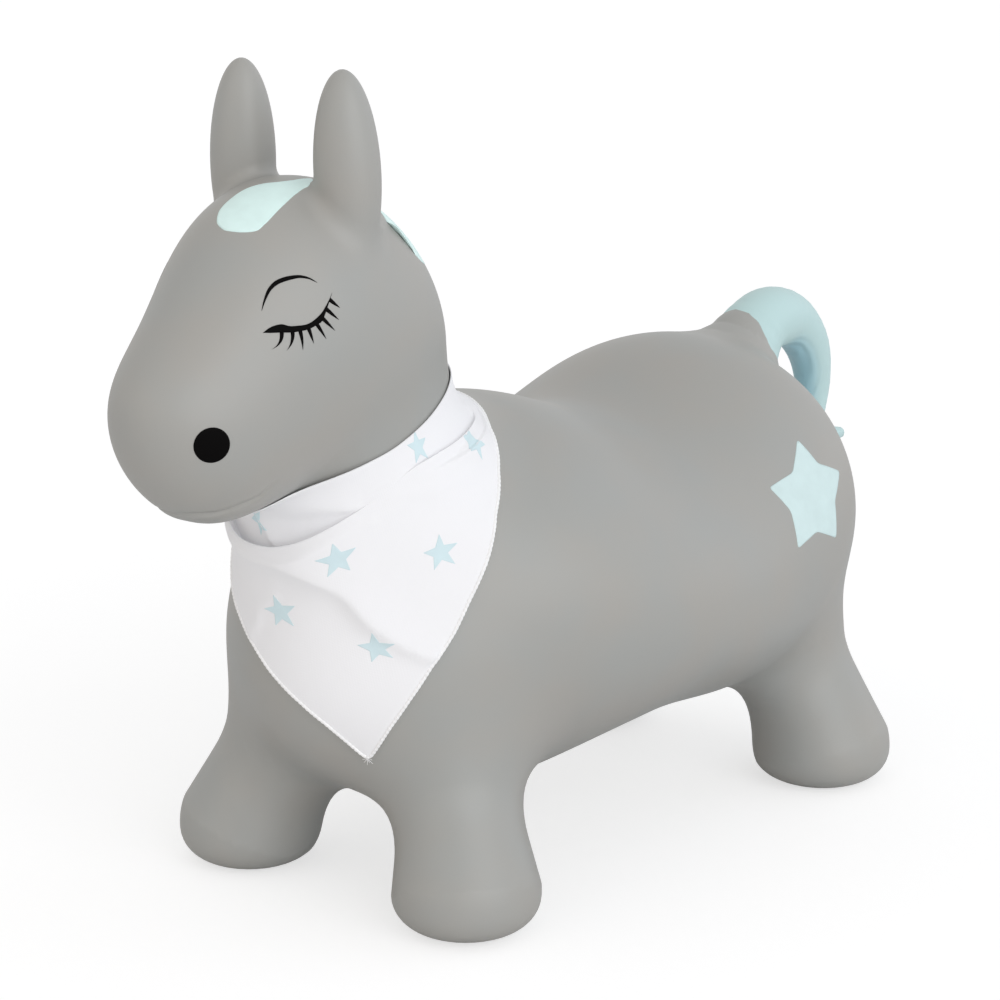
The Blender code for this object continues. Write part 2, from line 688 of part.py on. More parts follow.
def make_skin(form, materials):
    coarse = hollow_shell(form, skin_mesh(room_field, -WALL, INNER_EDGE, (), ()))
    fine_form = skin_mesh(skin_field, 0, FINE_EDGE, TAIL)
    fine = hollow_shell(fine_form, skin_mesh(air_field, -WALL, FINE_INNER_EDGE, HOLLOW_TAIL))
    far = ZONE_REACH
    neck = tilted_frame((0, NECK_CUT_Y, NECK_CUT_Z), NECK_CUT_TILT_DEG)
    above_neck = block("above_neck", (-far, -far, SEAM_GAP / 2), (far, far, far), neck)
    clear_of_head = block("clear_of_head", (-far, -far, -SEAM_GAP / 2), (far, far, far), neck)
    tail = tilted_frame((0, TAIL_CUT_Y, TAIL_CUT_Z), -TAIL_CUT_TILT_DEG)
    past_root = block("past_root", (-far, -far, 0), (far, far, far), tail)
    clear_of_tail = block("clear_of_tail", (-far, -far, -SEAM_GAP), (far, far, far), tail)
    half = TAIL_ZONE_HALF
    root_length = EAR_ROOT_HEIGHT
    tail_slab = block("tail_slab", (-half, -half, 0), (half, half, root_length), tail)
    slab_top = (half, half, root_length + SEAM_GAP)
    clear_of_slab = block("clear_of_slab", (-half, -half, -SEAM_GAP), slab_top, tail)

    leg_cuts = []
    skin = {}
    for name, (hip, foot, radii) in LEGS.items():
        side = 1 if foot[0] > 0 else -1
        reach_x = sorted((side * LEG_INNER_X, foot[0] + side * LEG_ZONE_HALF))
        low_y = foot[1] - LEG_ZONE_HALF
        high_y = foot[1] + LEG_ZONE_HALF
        foot_box = block("foot_box", (reach_x[0], low_y, -FOOT_HEIGHT), (reach_x[1], high_y, FOOT_HEIGHT))
        leg_low = (reach_x[0], low_y, FOOT_HEIGHT + SEAM_GAP)
        leg_box = block("leg_box", leg_low, (reach_x[1], high_y, LEG_TOP))
        cut_low = (reach_x[0] - SEAM_GAP, low_y, -FOOT_HEIGHT)
        cut_high = (reach_x[1] + SEAM_GAP, high_y, LEG_TOP + SEAM_GAP)
        leg_cuts.append(block("leg_cut", cut_low, cut_high))
        skin["foot_" + name] = zone("foot_" + name, coarse, [foot_box], [])
        skin["leg_" + name] = zone("leg_" + name, coarse, [leg_box], [])
        set_pivot(skin["foot_" + name], (foot[0], foot[1], FOOT_HEIGHT))

    ear_cuts = []
    root_top = EAR_CUT_Z + EAR_ROOT_HEIGHT
    for name, side in (("left", 1), ("right", -1)):
        reach_x = sorted((0, side * far))
        root_box = block("root_box", (reach_x[0], -far, EAR_CUT_Z), (reach_x[1], 0, root_top))
        ear_box = block("ear_box", (reach_x[0], -far, root_top + SEAM_GAP), (reach_x[1], 0, far + far))
        cut_low = (reach_x[0], -far, EAR_CUT_Z - SEAM_GAP)
        ear_cuts.append(block("ear_cut", cut_low, (reach_x[1], 0, far + far)))
        skin["ear_root_" + name] = zone("ear_root_" + name, fine, [root_box], [])
        skin["ear_" + name] = zone("ear_" + name, fine, [ear_box], [])
        set_pivot(skin["ear_" + name], (side * EAR_X, EAR_Y, EAR_CUT_Z + EAR_ROOT_HEIGHT / 2))
        ear_cuts.append(air_passage(EAR_AIR_RADIUS, Matrix.Translation((side * EAR_X, EAR_Y, EAR_CUT_Z))))

    skin["head_skin"] = zone("head_skin", coarse, [above_neck], ear_cuts)
    skin["tail_root"] = zone("tail_root", fine, [tail_slab], [])
    skin["tail"] = zone("tail", fine, [past_root], [clear_of_slab])
    set_pivot(skin["tail"], tail @ Vector((0, 0, root_length / 2)))
    hole = TUBE_RADIUS + SEAM_GAP
    bore = turned_solid("valve_hole", [(hole, -TUBE_LENGTH), (hole, TUBE_LENGTH)])
    bore.location = (0, VALVE_Y, flange_top())
    bpy.context.view_layer.update()
    tail_passage = air_passage(TAIL_AIR_RADIUS, tail)
    trunk_cuts = leg_cuts + [clear_of_head, clear_of_tail, tail_passage, as_guide(bore)]
    skin["trunk_skin"] = zone("trunk_skin", coarse, [], trunk_cuts)
    for name, obj in skin.items():
        mint = name in ("tail", "tail_root")
        finish(obj, materials, "mint_vinyl" if mint else "grey_vinyl")
    return skin


def turned_solid(name, profile):
    """A closed solid turned round Z from rows of radius and height, listed from low to high."""
    rows = [(0, profile[0][1])] + list(profile) + [(0, profile[-1][1])]
    bm = bmesh.new()
    verts = [bm.verts.new((radius, 0, height)) for radius, height in rows]
    for a, b in zip(verts[:-1], verts[1:]):
        bm.edges.new((a, b))
    bmesh.ops.spin(
        bm, geom=list(bm.verts) + list(bm.edges), cent=(0, 0, 0), axis=(0, 0, 1),
        angle=math.tau, steps=ROUND_COUNT, use_merge=True,
    )
    bmesh.ops.remove_doubles(bm, verts=bm.verts, dist=PROBE / 10)
    bmesh.ops.recalc_face_normals(bm, faces=bm.faces)
    mesh = bpy.data.meshes.new(name)
    bm.to_mesh(mesh)
    bm.free()
    return new_object(name, mesh)


def air_passage(radius, place):
    """A round cutter that opens the wall below an ear or the tail, so that the air joins up."""
    passage = turned_solid("air_passage", [(radius, -AIR_PASSAGE_DEPTH), (radius, EAR_ROOT_HEIGHT)])
    passage.matrix_world = place
    return as_guide(passage)


def flange_top():
    """Height of the valve's flange: just under the lowest skin that it covers."""
    angles = np.linspace(0, math.tau, ROUND_COUNT, endpoint=False)
    ring = np.stack([FLANGE_RADIUS * np.cos(angles), VALVE_Y + FLANGE_RADIUS * np.sin(angles)], axis=-1)
    ring = np.vstack([ring, (0, VALVE_Y)])
    starts = np.column_stack([ring, np.full(len(ring), BARREL_Z)])
    down = np.tile((0, 0, -1.0), (len(ring), 1))
    drop = strike(starts, down, skin_field, 0, BARREL_Z)
    return BARREL_Z - drop.max() - FLANGE_GAP


def make_valve(materials):
    top = flange_top()
    seat = turned_solid("valve_seat", [
        (FLANGE_RADIUS, -FLANGE_THICKNESS),
        (FLANGE_RADIUS, 0),
        (TUBE_RADIUS, 0),
        (TUBE_RADIUS, TUBE_LENGTH),
    ])
    bore = as_guide(turned_solid("valve_bore", [
        (BORE_RADIUS, -TUBE_LENGTH),
        (BORE_RADIUS, TUBE_LENGTH + TUBE_LENGTH),
    ]))
    boolean(seat, bore, "DIFFERENCE")
    seat.data = evaluated_mesh(seat)
    seat.modifiers.clear()
    seat.location = (0, VALVE_Y, top)
    stem = BORE_RADIUS - SEAM_GAP
    under = -FLANGE_THICKNESS - SEAM_GAP
    plug = turned_solid("valve_plug", [
        (PLUG_HEAD_RADIUS - PLUG_HEAD_THICKNESS / 2, under - PLUG_HEAD_THICKNESS),
        (PLUG_HEAD_RADIUS, under - PLUG_HEAD_THICKNESS / 2),
        (PLUG_HEAD_RADIUS, under),
        (stem, under),
        (stem, under + PLUG_STEM_LENGTH - PLUG_TIP_LENGTH),
        (PLUG_TIP_RADIUS, under + PLUG_STEM_LENGTH),
    ])
    plug.location = (0, VALVE_Y, top)
    finish(seat, materials, "white_plug")
    finish(plug, materials, "white_plug")


def grid_faces(row_count, column_count, offset=0, flip=False):
    faces = []
    for row in range(row_count - 1):
        for column in range(column_count - 1):
            corner = offset + row * column_count + column
            face = (corner, corner + 1, corner + column_count + 1, corner + column_count)
            faces.append(face[::-1] if flip else face)
    return faces


def slab_mesh(lower, upper, name):
    """A closed solid between two equal grids of points, the upper one on the outside."""
    row_count, column_count = upper.shape[:2]
    count = row_count * column_count
    faces = grid_faces(row_count, column_count) + grid_faces(row_count, column_count, count, True)
    ring = list(range(column_count))
    ring += [row * column_count + column_count - 1 for row in range(1, row_count)]
    ring += [count - 1 - column for column in range(1, column_count)]
    ring += [row * column_count for row in range(row_count - 2, 0, -1)]
    for a, b in zip(ring, ring[1:] + ring[:1]):
        faces.append((b, a, a + count, b + count))
    mesh = mesh_from(np.concatenate([upper.reshape(-1, 3), lower.reshape(-1, 3)]), faces, name)
    bm = bmesh.new()
    bm.from_mesh(mesh)
    bmesh.ops.recalc_face_normals(bm, faces=bm.faces)
    bm.to_mesh(mesh)
    bm.free()
    return mesh


def face_frame(centre, outward):
    """Right, up and outward directions of a mark's own face at a place on the skin."""
    outward = np.array(outward) / np.linalg.norm(outward)
    right = np.cross((0, 0, 1), outward)
    right = right / np.linalg.norm(right)
    return np.array(centre), right, np.cross(outward, right), outward


def film(name, layer, outline, centre, outward, side=1):
    """The part of the print layer inside an outline, given right and up on the mark's own face."""
    centre, right, up, out = face_frame(centre, outward)
    outline = np.array(outline)
    patch = new_object(name, layer.copy())
    ends = []
    for depth in (-FILM_DEPTH, FILM_DEPTH):
        end = centre + outline[:, :1] * right + outline[:, 1:] * up + depth * out
        ends.append(end * np.array((side, 1, 1)))
    count = len(outline)
    faces = [tuple(range(count))[::-1], tuple(range(count, 2 * count))]
    faces += [(k, (k + 1) % count, count + (k + 1) % count, count + k) for k in range(count)]
    cutter = as_guide(new_object("outline", mesh_from(np.concatenate(ends), faces, "outline")))
    bm = bmesh.new()
    bm.from_mesh(cutter.data)
    bmesh.ops.recalc_face_normals(bm, faces=bm.faces)
    bm.to_mesh(cutter.data)
    bm.free()
    boolean(patch, cutter, "INTERSECT")
    mesh = evaluated_mesh(patch)
    bpy.data.objects.remove(patch)
    bpy.data.objects.remove(cutter)
    return new_object(name, largest_body(mesh))


def ribbon(line, width):
    """Outline of a stroke along a line: full width in its middle, fine at both ends."""
    line = smooth_line(line, 2)
    run = np.gradient(line, axis=0)
    normal = np.stack([-run[:, 1], run[:, 0]], axis=-1)
    normal = normal / np.linalg.norm(normal, axis=1, keepdims=True)
    taper = np.sin(np.linspace(STROKE_END, 1 - STROKE_END, len(line)) * math.pi)[:, None]
    return np.vstack([line + normal * taper * width / 2, (line - normal * taper * width / 2)[::-1]])


def lash_outline():
    """The closed lid's line along its top, then back along its lower side with eight lashes."""
    top = EYE_HALF_WIDTH * np.array(LID_TOP_SHARES)
    roots = EYE_HALF_WIDTH * np.array(LASH_ROOT_SHARES)
    tips = EYE_HALF_WIDTH * np.array(LASH_TIP_SHARES)
    along = np.gradient(roots, axis=0)
    half = along / np.linalg.norm(along, axis=1, keepdims=True) * LASH_WIDTH / 2
    lashes = np.stack([roots + half, tips, roots - half], axis=1)
    return np.vstack([top, lashes[::-1].reshape(-1, 2)])


EYE_OUT = (0.878, -0.408, 0.251)
NOSTRIL_OUT = (0.842, -0.533, -0.082)
STAR_OUT = (0.913, 0.0, 0.409)
FORELOCK_OUT = (0.0, -0.464, 0.886)
MANE_OUT = (0.0, 0.80, 0.60)


def make_marks(form, materials):
    layer = print_layer(form)
    forelock = FORELOCK_HALF * smooth_line(FORELOCK_SHARES, 3, closed=True)
    mane = smooth_line(MANE_SHARES, 4, closed=True) * np.array((MANE_HALF_WIDTH, MANE_HALF_HEIGHT))
    star = STAR_HALF * np.array(STAR_SHARES)
    brow = ribbon(EYE_HALF_WIDTH * np.array(BROW_SHARES), BROW_WIDTH)
    angles = np.linspace(0, math.tau, ROUND_COUNT, endpoint=False)
    nostril = NOSTRIL_RADIUS * np.stack([np.cos(angles), np.sin(angles)], axis=-1)
    eye = (EYE_X, EYE_Y, EYE_Z)
    star_place = (STAR_X, STAR_Y, STAR_Z)
    nostril_place = (NOSTRIL_X, NOSTRIL_Y, NOSTRIL_Z)
    marks = [
        film("forelock_print", layer, forelock, (0, FORELOCK_Y, FORELOCK_Z), FORELOCK_OUT),
        film("mane_print", layer, mane, (0, MANE_Y, MANE_Z), MANE_OUT),
    ]
    inks = []
    for name, side in (("left", 1), ("right", -1)):
        marks.append(film("hip_star_" + name, layer, star, star_place, STAR_OUT, side))
        inks.append(film("brow_" + name, layer, brow, eye, EYE_OUT, side))
        inks.append(film("eyelashes_" + name, layer, lash_outline(), eye, EYE_OUT, side))
        inks.append(film("nostril_" + name, layer, nostril, nostril_place, NOSTRIL_OUT, side))
    for obj in marks:
        finish(obj, materials, "mint_vinyl")
    for obj in inks:
        finish(obj, materials, "black_print")


def ring_place(turn_deg, height):
    """Where the neck ring's rays start at a height along its leaning axis, and their directions."""
    lean = math.radians(NECK_CUT_TILT_DEG)
    turn = np.radians(np.asarray(turn_deg, float))
    axis = np.array((0, -math.sin(lean), math.cos(lean)))
    front = np.array((0, -math.cos(lean), -math.sin(lean)))
    left = np.array((1.0, 0, 0))
    start = np.array((0, NECK_CUT_Y, NECK_CUT_Z)) + np.asarray(height)[..., None] * axis
    direction = np.cos(turn)[..., None] * front + np.sin(turn)[..., None] * left
    return np.broadcast_to(start, direction.shape), direction


def lip_height(turn_deg):
    degrees, shares = np.array(LIP_DEG_AND_SHARES, float).T
    return -COLLAR_DEPTH * np.interp(turn_deg, degrees, shares)


def hem_height(turn_deg):
    degrees, shares = np.array(HEM_DEG_AND_SHARES, float).T
    return -BANDANA_DEPTH * np.interp(np.abs(turn_deg - BANDANA_TURN_DEG), degrees, shares)


def fold_lift(turn_deg, height):
    """How far soft ridges lift the cloth: a smooth bump across each ridge line."""
    lift = np.zeros(np.shape(height))
    x = np.radians(turn_deg) * FOLD_RADIUS
    for start, end in FOLD_DEG_AND_SHARES:
        a = np.array((math.radians(start[0]) * FOLD_RADIUS, -BANDANA_DEPTH * start[1]))
        run = np.array((math.radians(end[0]) * FOLD_RADIUS, -BANDANA_DEPTH * end[1])) - a
        share = np.clip(((x - a[0]) * run[0] + (height - a[1]) * run[1]) / (run @ run), 0, 1)
        away = np.hypot(x - a[0] - share * run[0], height - a[1] - share * run[1])
        lift = np.maximum(lift, BANDANA_FOLD * ease(1 - away / FOLD_HALF_WIDTH))
    return lift


def bandana_front():
    """The hanging triangle: each column runs from the collar's lip down to the hem."""
    shares = np.linspace(-1, 1, BANDANA_COLUMN_COUNT)
    turns = BANDANA_TURN_DEG + BANDANA_SPREAD_DEG * shares
    round_turns = (turns + 180) % 360 - 180
    top = lip_height(round_turns) - 2 * SEAM_GAP
    least = np.minimum(hem_height(turns), top - 3 * BANDANA_CLOTH)
    drop = np.linspace(0, 1, BANDANA_ROW_COUNT)[:, None]
    height = top + drop * (least - top)
    turn = np.broadcast_to(turns, height.shape)
    starts, outs = ring_place(turn, height)
    lift = fold_lift(turn, height) * ease(4 * drop * (1 - drop) + (1 - np.abs(shares)) / 3)
    layers = []
    for thickness in (0, BANDANA_CLOTH):
        base = strike(starts, outs, body_field, BANDANA_CLEARANCE + thickness, CLOTH_REACH)
        layers.append(starts + (base + lift)[..., None] * outs)
    return new_object("bandana_front", slab_mesh(layers[0], layers[1], "bandana_front"))


def collar_wall(turn, across):
    """A point on the skin side of the collar, its outward ray, and the collar's thickness."""
    low = lip_height((turn + 180) % 360 - 180)
    high = COLLAR_TOP_MEAN - COLLAR_TOP_SWING * np.cos(np.radians(turn))
    starts, outs = ring_place(turn, low + across * (high - low))
    reach = strike(starts, outs, skin_field, COLLAR_CLEARANCE, CLOTH_REACH)
    front = ease((1 + np.cos(np.radians(turn))) / 2)
    return starts + reach[..., None] * outs, outs, COLLAR_BACK + (COLLAR_FRONT - COLLAR_BACK) * front


def bandana_collar():
    """The rolled band: a rounded section carried round the neck, open at the nape."""
    turns = np.linspace(180 + COLLAR_OPEN_DEG, 540 - COLLAR_OPEN_DEG, COLLAR_COLUMN_COUNT)
    loop = np.linspace(0, math.tau, COLLAR_LOOP_COUNT, endpoint=False)
    turn, angle = np.meshgrid(turns, loop, indexing="ij")
    wall, outs, thickness = collar_wall(turn, (1 - np.cos(angle)) / 2)
    points = wall + (thickness * np.maximum(np.sin(angle), 0))[..., None] * outs
    faces = []
    for column in range(COLLAR_COLUMN_COUNT - 1):
        for k in range(COLLAR_LOOP_COUNT):
            a = column * COLLAR_LOOP_COUNT + k
            b = column * COLLAR_LOOP_COUNT + (k + 1) % COLLAR_LOOP_COUNT
            faces.append((a, b, b + COLLAR_LOOP_COUNT, a + COLLAR_LOOP_COUNT))
    last = (COLLAR_COLUMN_COUNT - 1) * COLLAR_LOOP_COUNT
    faces.append(tuple(range(COLLAR_LOOP_COUNT))[::-1])
    faces.append(tuple(range(last, last + COLLAR_LOOP_COUNT)))
    mesh = mesh_from(points, faces, "bandana_collar")
    bm = bmesh.new()
    bm.from_mesh(mesh)
    bmesh.ops.recalc_face_normals(bm, faces=bm.faces)
    bm.to_mesh(mesh)
    bm.free()
    return new_object("bandana_collar", mesh)


def closure_tab():
    """The sewn tab over the collar's two ends at the nape."""
    turns = np.linspace(180 - TAB_HALF_DEG, 180 + TAB_HALF_DEG, TAB_COLUMN_COUNT)
    angles = np.linspace(0.25, 0.75, TAB_ROW_COUNT) * math.pi
    angle, turn = np.meshgrid(angles, turns, indexing="ij")
    wall, outs, thickness = collar_wall(turn, (1 - np.cos(angle)) / 2)
    layers = []
    for extra in (2 * SEAM_GAP, 2 * SEAM_GAP + TAB_THICKNESS):
        layers.append(wall + (thickness * np.sin(angle) + extra)[..., None] * outs)
    return new_object("bandana_tab", slab_mesh(layers[0], layers[1], "bandana_tab"))


def main():
    clear_scene()
    materials = {name: material(name, *values) for name, values in MATERIAL_VALUES.items()}
    form = skin_mesh(skin_field, 0, SKIN_EDGE, TAIL)
    make_skin(form, materials)
    make_valve(materials)
    make_marks(form, materials)
    for cloth in (bandana_front(), bandana_collar(), closure_tab()):
        finish(cloth, materials, "white_cotton")


main()
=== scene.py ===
import math

import bmesh
import bpy
import numpy as np
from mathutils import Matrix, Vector


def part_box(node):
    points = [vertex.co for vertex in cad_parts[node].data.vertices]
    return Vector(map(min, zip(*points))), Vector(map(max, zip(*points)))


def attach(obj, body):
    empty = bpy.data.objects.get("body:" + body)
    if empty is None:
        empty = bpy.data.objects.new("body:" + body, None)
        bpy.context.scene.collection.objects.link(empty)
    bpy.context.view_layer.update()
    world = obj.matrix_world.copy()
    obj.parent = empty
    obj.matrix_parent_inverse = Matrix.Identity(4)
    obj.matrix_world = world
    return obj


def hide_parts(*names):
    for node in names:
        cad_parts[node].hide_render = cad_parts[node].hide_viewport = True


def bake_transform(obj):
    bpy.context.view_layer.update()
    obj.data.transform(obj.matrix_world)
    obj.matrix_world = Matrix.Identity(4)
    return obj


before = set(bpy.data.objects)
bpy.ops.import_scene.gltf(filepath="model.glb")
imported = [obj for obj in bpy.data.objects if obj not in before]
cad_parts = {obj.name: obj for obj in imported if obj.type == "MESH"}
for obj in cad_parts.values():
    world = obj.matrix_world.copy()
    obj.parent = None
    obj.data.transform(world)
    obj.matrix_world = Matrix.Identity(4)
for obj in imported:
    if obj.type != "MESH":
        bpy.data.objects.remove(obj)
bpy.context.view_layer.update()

# An inflatable ride-on donkey of soft grey PVC with a cotton bandana round its neck.
# It faces -Y, its left side is +X, and everything is in metres.

scene = bpy.context.scene


# Small helpers.

def ease(share):
    # 3 s^2 - 2 s^3, held at 0 and 1 outside.
    share = np.clip(share, 0, 1)
    return share * share * (3 - 2 * share)


def flow(a, b, reach):
    # The lower of two fields, rounded off by a parabola where they lie within reach of each other.
    near = np.maximum(reach - np.abs(a - b), 0) / reach
    return np.minimum(a, b) - near * near * reach / 4


def unit(rows):
    rows = np.asarray(rows, float)
    return rows / np.maximum(np.linalg.norm(rows, axis=-1, keepdims=True), 1e-12)


def smoothLine(knots, stepCount, closed=False):
    # Catmull-Rom through the knots: a cubic between each two, whose slope at a knot is half the way
    # between its neighbours. A knot can be any array.
    knots = np.array(knots, float)
    if closed:
        padded = np.concatenate([knots[-1:], knots, knots[:2]])
    else:
        padded = np.concatenate([2 * knots[:1] - knots[1:2], knots, 2 * knots[-1:] - knots[-2:-1]])
    share = (np.arange(stepCount) / stepCount).reshape((stepCount,) + (1,) * (knots.ndim - 1))
    rows = []
    for a, b, c, d in zip(padded[:-3], padded[1:-2], padded[2:-1], padded[3:]):
        bend = (2 * a - 5 * b + 4 * c - d) * share**2 + (3 * b - a - 3 * c + d) * share**3
        rows.append((2 * b + (c - a) * share + bend) / 2)
    if not closed:
        rows.append(knots[-1:])
    return np.concatenate(rows)


# The animal's form.

# Ovals are y, z, half width, half length, half height and nose-down tilt in degrees.
# Leg ends are x, y, z and the radii are at the hip, the waist and the foot.
animalForm = {
    "chest": (-0.1060, 0.1570, 0.0980, 0.1190, 0.1020, 11.0),
    "barrel": (0.0070, 0.1620, 0.1430, 0.1540, 0.0870, -12.5),
    "rump": (0.1450, 0.1810, 0.1235, 0.0900, 0.1035, -13.0),
    "withers": (-0.0730, 0.1995, 0.0850, 0.0780, 0.0595, -2.0),
    "neck": (-0.1625, 0.2595, 0.0640, 0.0640, 0.0835, 7.5),
    "skull": (-0.1923, 0.3460, 0.0678, 0.0736, 0.0948, 41.6),
    "muzzle": (-0.2939, 0.2975, 0.0300, 0.0278, 0.0402, 34.1),
    "earPlace": (0.0395, -0.2035, 0.4370),
    "earHalf": (0.0190, 0.0175, 0.0560),
    "earTilt": 1.5,
    "earSplay": 1.8,
    "frontHip": (0.0510, -0.1375, 0.1345),
    "frontFoot": (0.0862, -0.1614, 0.0227),
    "frontRadii": (0.0327, 0.0334, 0.0434),
    "rearHip": (0.0530, 0.1725, 0.1485),
    "rearFoot": (0.0946, 0.1796, 0.0212),
    "rearRadii": (0.0250, 0.0320, 0.0449),
    "waistShare": 0.485,
    "flareStart": 0.2,
    "trunkReach": 0.0900,
    "withersReach": 0.0630,
    "legReach": 0.0430,
    "neckReach": 0.0455,
    "headReach": 0.1129,
    "earReach": 0.0100,
    "jawReach": 0.0195,
    "tailReach": 0.0200,
    "soleReach": 0.0220,
    "soleRelief": 0.0015,
}

# The tail's middle line: y, z and radius, from its root inside the rump to the nub at its end.
tailKnots = (
    (0.1880, 0.2395, 0.0335), (0.2245, 0.2731, 0.0221), (0.2465, 0.2800, 0.0205),
    (0.2700, 0.2739, 0.0175), (0.2895, 0.2541, 0.0150), (0.2970, 0.2282, 0.0120),
    (0.2961, 0.1921, 0.0085), (0.3300, 0.1856, 0.0042),
)
tailLine = smoothLine(tailKnots, 4)


def ovalField(points, centre, half, tiltDeg, splayDeg=0.0):
    # About how far a point stands outside a tilted oval: k (k - 1) / slope, where k is its size in
    # half sizes.
    offset = points - np.array(centre)
    tilt = math.radians(tiltDeg)
    splay = math.radians(splayDeg)
    y = math.cos(tilt) * offset[..., 1] + math.sin(tilt) * offset[..., 2]
    z = math.cos(tilt) * offset[..., 2] - math.sin(tilt) * offset[..., 1]
    across = math.cos(splay) * offset[..., 0] - math.sin(splay) * z
    along = math.sin(splay) * offset[..., 0] + math.cos(splay) * z
    share = np.stack([across / half[0], y / half[1], along / half[2]], axis=-1)
    size = np.linalg.norm(share, axis=-1) + 2e-4
    slope = np.linalg.norm(share / np.array(half), axis=-1) + 2e-4
    return size * (size - 1) / slope


def formOval(points, name):
    y, z, halfWidth, halfLength, halfHeight, tilt = animalForm[name]
    return ovalField(points, (0, y, z), (halfWidth, halfLength, halfHeight), tilt)


def legField(points, hip, foot, radii):
    # Distance to the line from hip to foot, less a radius that eases from the hip's to the waist's
    # and then flares nearly straight to the foot's.
    line = np.array(foot) - np.array(hip)
    share = np.clip((points - np.array(hip)) @ line / (line @ line), 0, 1)
    distance = np.linalg.norm(points - np.array(hip) - share[..., None] * line, axis=-1)
    waist = animalForm["waistShare"]
    start = animalForm["flareStart"]
    below = np.clip((share - waist) / (1 - waist), 0, 1)
    flare = below * below * (1 + start) / (below + start)
    return distance - radii[0] - (radii[1] - radii[0]) * ease(share / waist) - (radii[2] - radii[1]) * flare


def tailField(points):
    # The nearest of the tail's short tapered pieces. Outside a box round the tail the distance is
    # taken as 100 mm, since only points near it matter.
    whole = np.full(points.shape[:-1], 0.1)
    close = (points[..., 1] > 0.11) & (points[..., 2] > 0.12) & (np.abs(points[..., 0]) < 0.09)
    points = points[close]
    field = whole[close]
    for (y0, z0, radius0), (y1, z1, radius1) in zip(tailLine[:-1], tailLine[1:]):
        start = np.array((0, y0, z0))
        run = np.array((0, y1 - y0, z1 - z0))
        share = np.clip((points - start) @ run / (run @ run), 0, 1)
        distance = np.linalg.norm(points - start - share[..., None] * run, axis=-1)
        field = np.minimum(field, distance - radius0 - share * (radius1 - radius0))
    whole[close] = field
    return whole


def bodyField(points):
    # Trunk, legs and neck flow together, and the floor cuts the soles with a soft edge.
    form = animalForm
    field = flow(formOval(points, "chest"), formOval(points, "barrel"), form["trunkReach"])
    field = flow(field, formOval(points, "rump"), form["trunkReach"])
    field = flow(field, formOval(points, "withers"), form["withersReach"])
    for end in ("front", "rear"):
        for side in (1, -1):
            turned = points * np.array((side, 1, 1))
            leg = legField(turned, form[end + "Hip"], form[end + "Foot"], form[end + "Radii"])
            field = flow(field, leg, form["legReach"])
    field = flow(field, formOval(points, "neck"), form["neckReach"])
    return -flow(-field, points[..., 2] + form["soleRelief"], form["soleReach"])


def headField(points, ears=True):
    # Skull and muzzle flow together far, and the ears stand out of the crown.
    form = animalForm
    field = flow(formOval(points, "skull"), formOval(points, "muzzle"), form["headReach"])
    if ears:
        for side in (1, -1):
            turned = points * np.array((side, 1, 1))
            ear = ovalField(turned, form["earPlace"], form["earHalf"], form["earTilt"], -form["earSplay"])
            field = flow(field, ear, form["earReach"])
    return field


def skinField(points):
    # Negative inside the animal, zero on its skin.
    field = flow(bodyField(points), headField(points), animalForm["jawReach"])
    return flow(field, tailField(points), animalForm["tailReach"])


def trunkField(points):
    # The skin without its ears and its tail, which is all that the cloth can touch.
    return flow(bodyField(points), headField(points, ears=False), animalForm["jawReach"])


def slopeOf(field, points):
    # Central differences along x, y and z.
    step = 2e-4
    rows = [field(points + way) - field(points - way) for way in np.eye(3) * step]
    return np.stack(rows, axis=-1) / (2 * step)


def settle(points, field, level, roundCount):
    # Newton steps along the slope, each held under 4 mm, until the field has the level.
    for _ in range(roundCount):
        slope = slopeOf(field, points)
        steep = np.maximum((slope * slope).sum(axis=-1), 0.05)
        step = (field(points) - level)[..., None] * slope / steep[..., None]
        length = np.linalg.norm(step, axis=-1, keepdims=True)
        points = points - step * np.minimum(1, 0.004 / np.maximum(length, 1e-9))
    return points


def strike(origins, directions, field, level, reach, marchCount=44, halveCount=14):
    # Distance from inside to the first place with the level: even steps, then halving.
    steps = np.linspace(0, reach, marchCount)
    first = np.full(origins.shape[:-1], marchCount - 1)
    for k in range(marchCount - 1, 0, -1):
        outside = field(origins + directions * steps[k]) > level
        first = np.where(outside, k, first)
    near = steps[first - 1]
    far = steps[first]
    for _ in range(halveCount):
        middle = (near + far) / 2
        out = field(origins + directions * middle[..., None]) > level
        far = np.where(out, middle, far)
        near = np.where(out, near, middle)
    return (near + far) / 2


def nearestOnLine(points, line):
    # For each point the nearest place on a broken line: its distance, its offset from that place, the
    # piece of the line there, and how far along the line it is, from 0 to 1.
    best = np.full(points.shape[:-1], np.inf)
    along = np.zeros(best.shape)
    offset = np.zeros(points.shape)
    run = np.zeros(points.shape)
    for number, (a, b) in enumerate(zip(line[:-1], line[1:])):
        share = np.clip((points - a) @ (b - a) / ((b - a) @ (b - a)), 0, 1)
        off = points - a - share[..., None] * (b - a)
        away = np.linalg.norm(off, axis=-1)
        nearer = away < best
        best = np.where(nearer, away, best)
        along = np.where(nearer, (number + share) / (len(line) - 1), along)
        offset = np.where(nearer[..., None], off, offset)
        run = np.where(nearer[..., None], b - a, run)
    return best, offset, run, along


# Mesh helpers.

def newMesh(name, points, faces):
    # Points and equal-sided faces go in as whole arrays.
    points = np.asarray(points, float).reshape(-1, 3)
    faces = np.asarray(faces)
    mesh = bpy.data.meshes.new(name)
    mesh.vertices.add(len(points))
    mesh.vertices.foreach_set("co", points.ravel())
    mesh.loops.add(faces.size)
    mesh.loops.foreach_set("vertex_index", faces.ravel())
    mesh.polygons.add(len(faces))
    mesh.polygons.foreach_set("loop_start", np.arange(len(faces)) * faces.shape[1])
    mesh.update(calc_edges=True)
    mesh.validate()
    return mesh


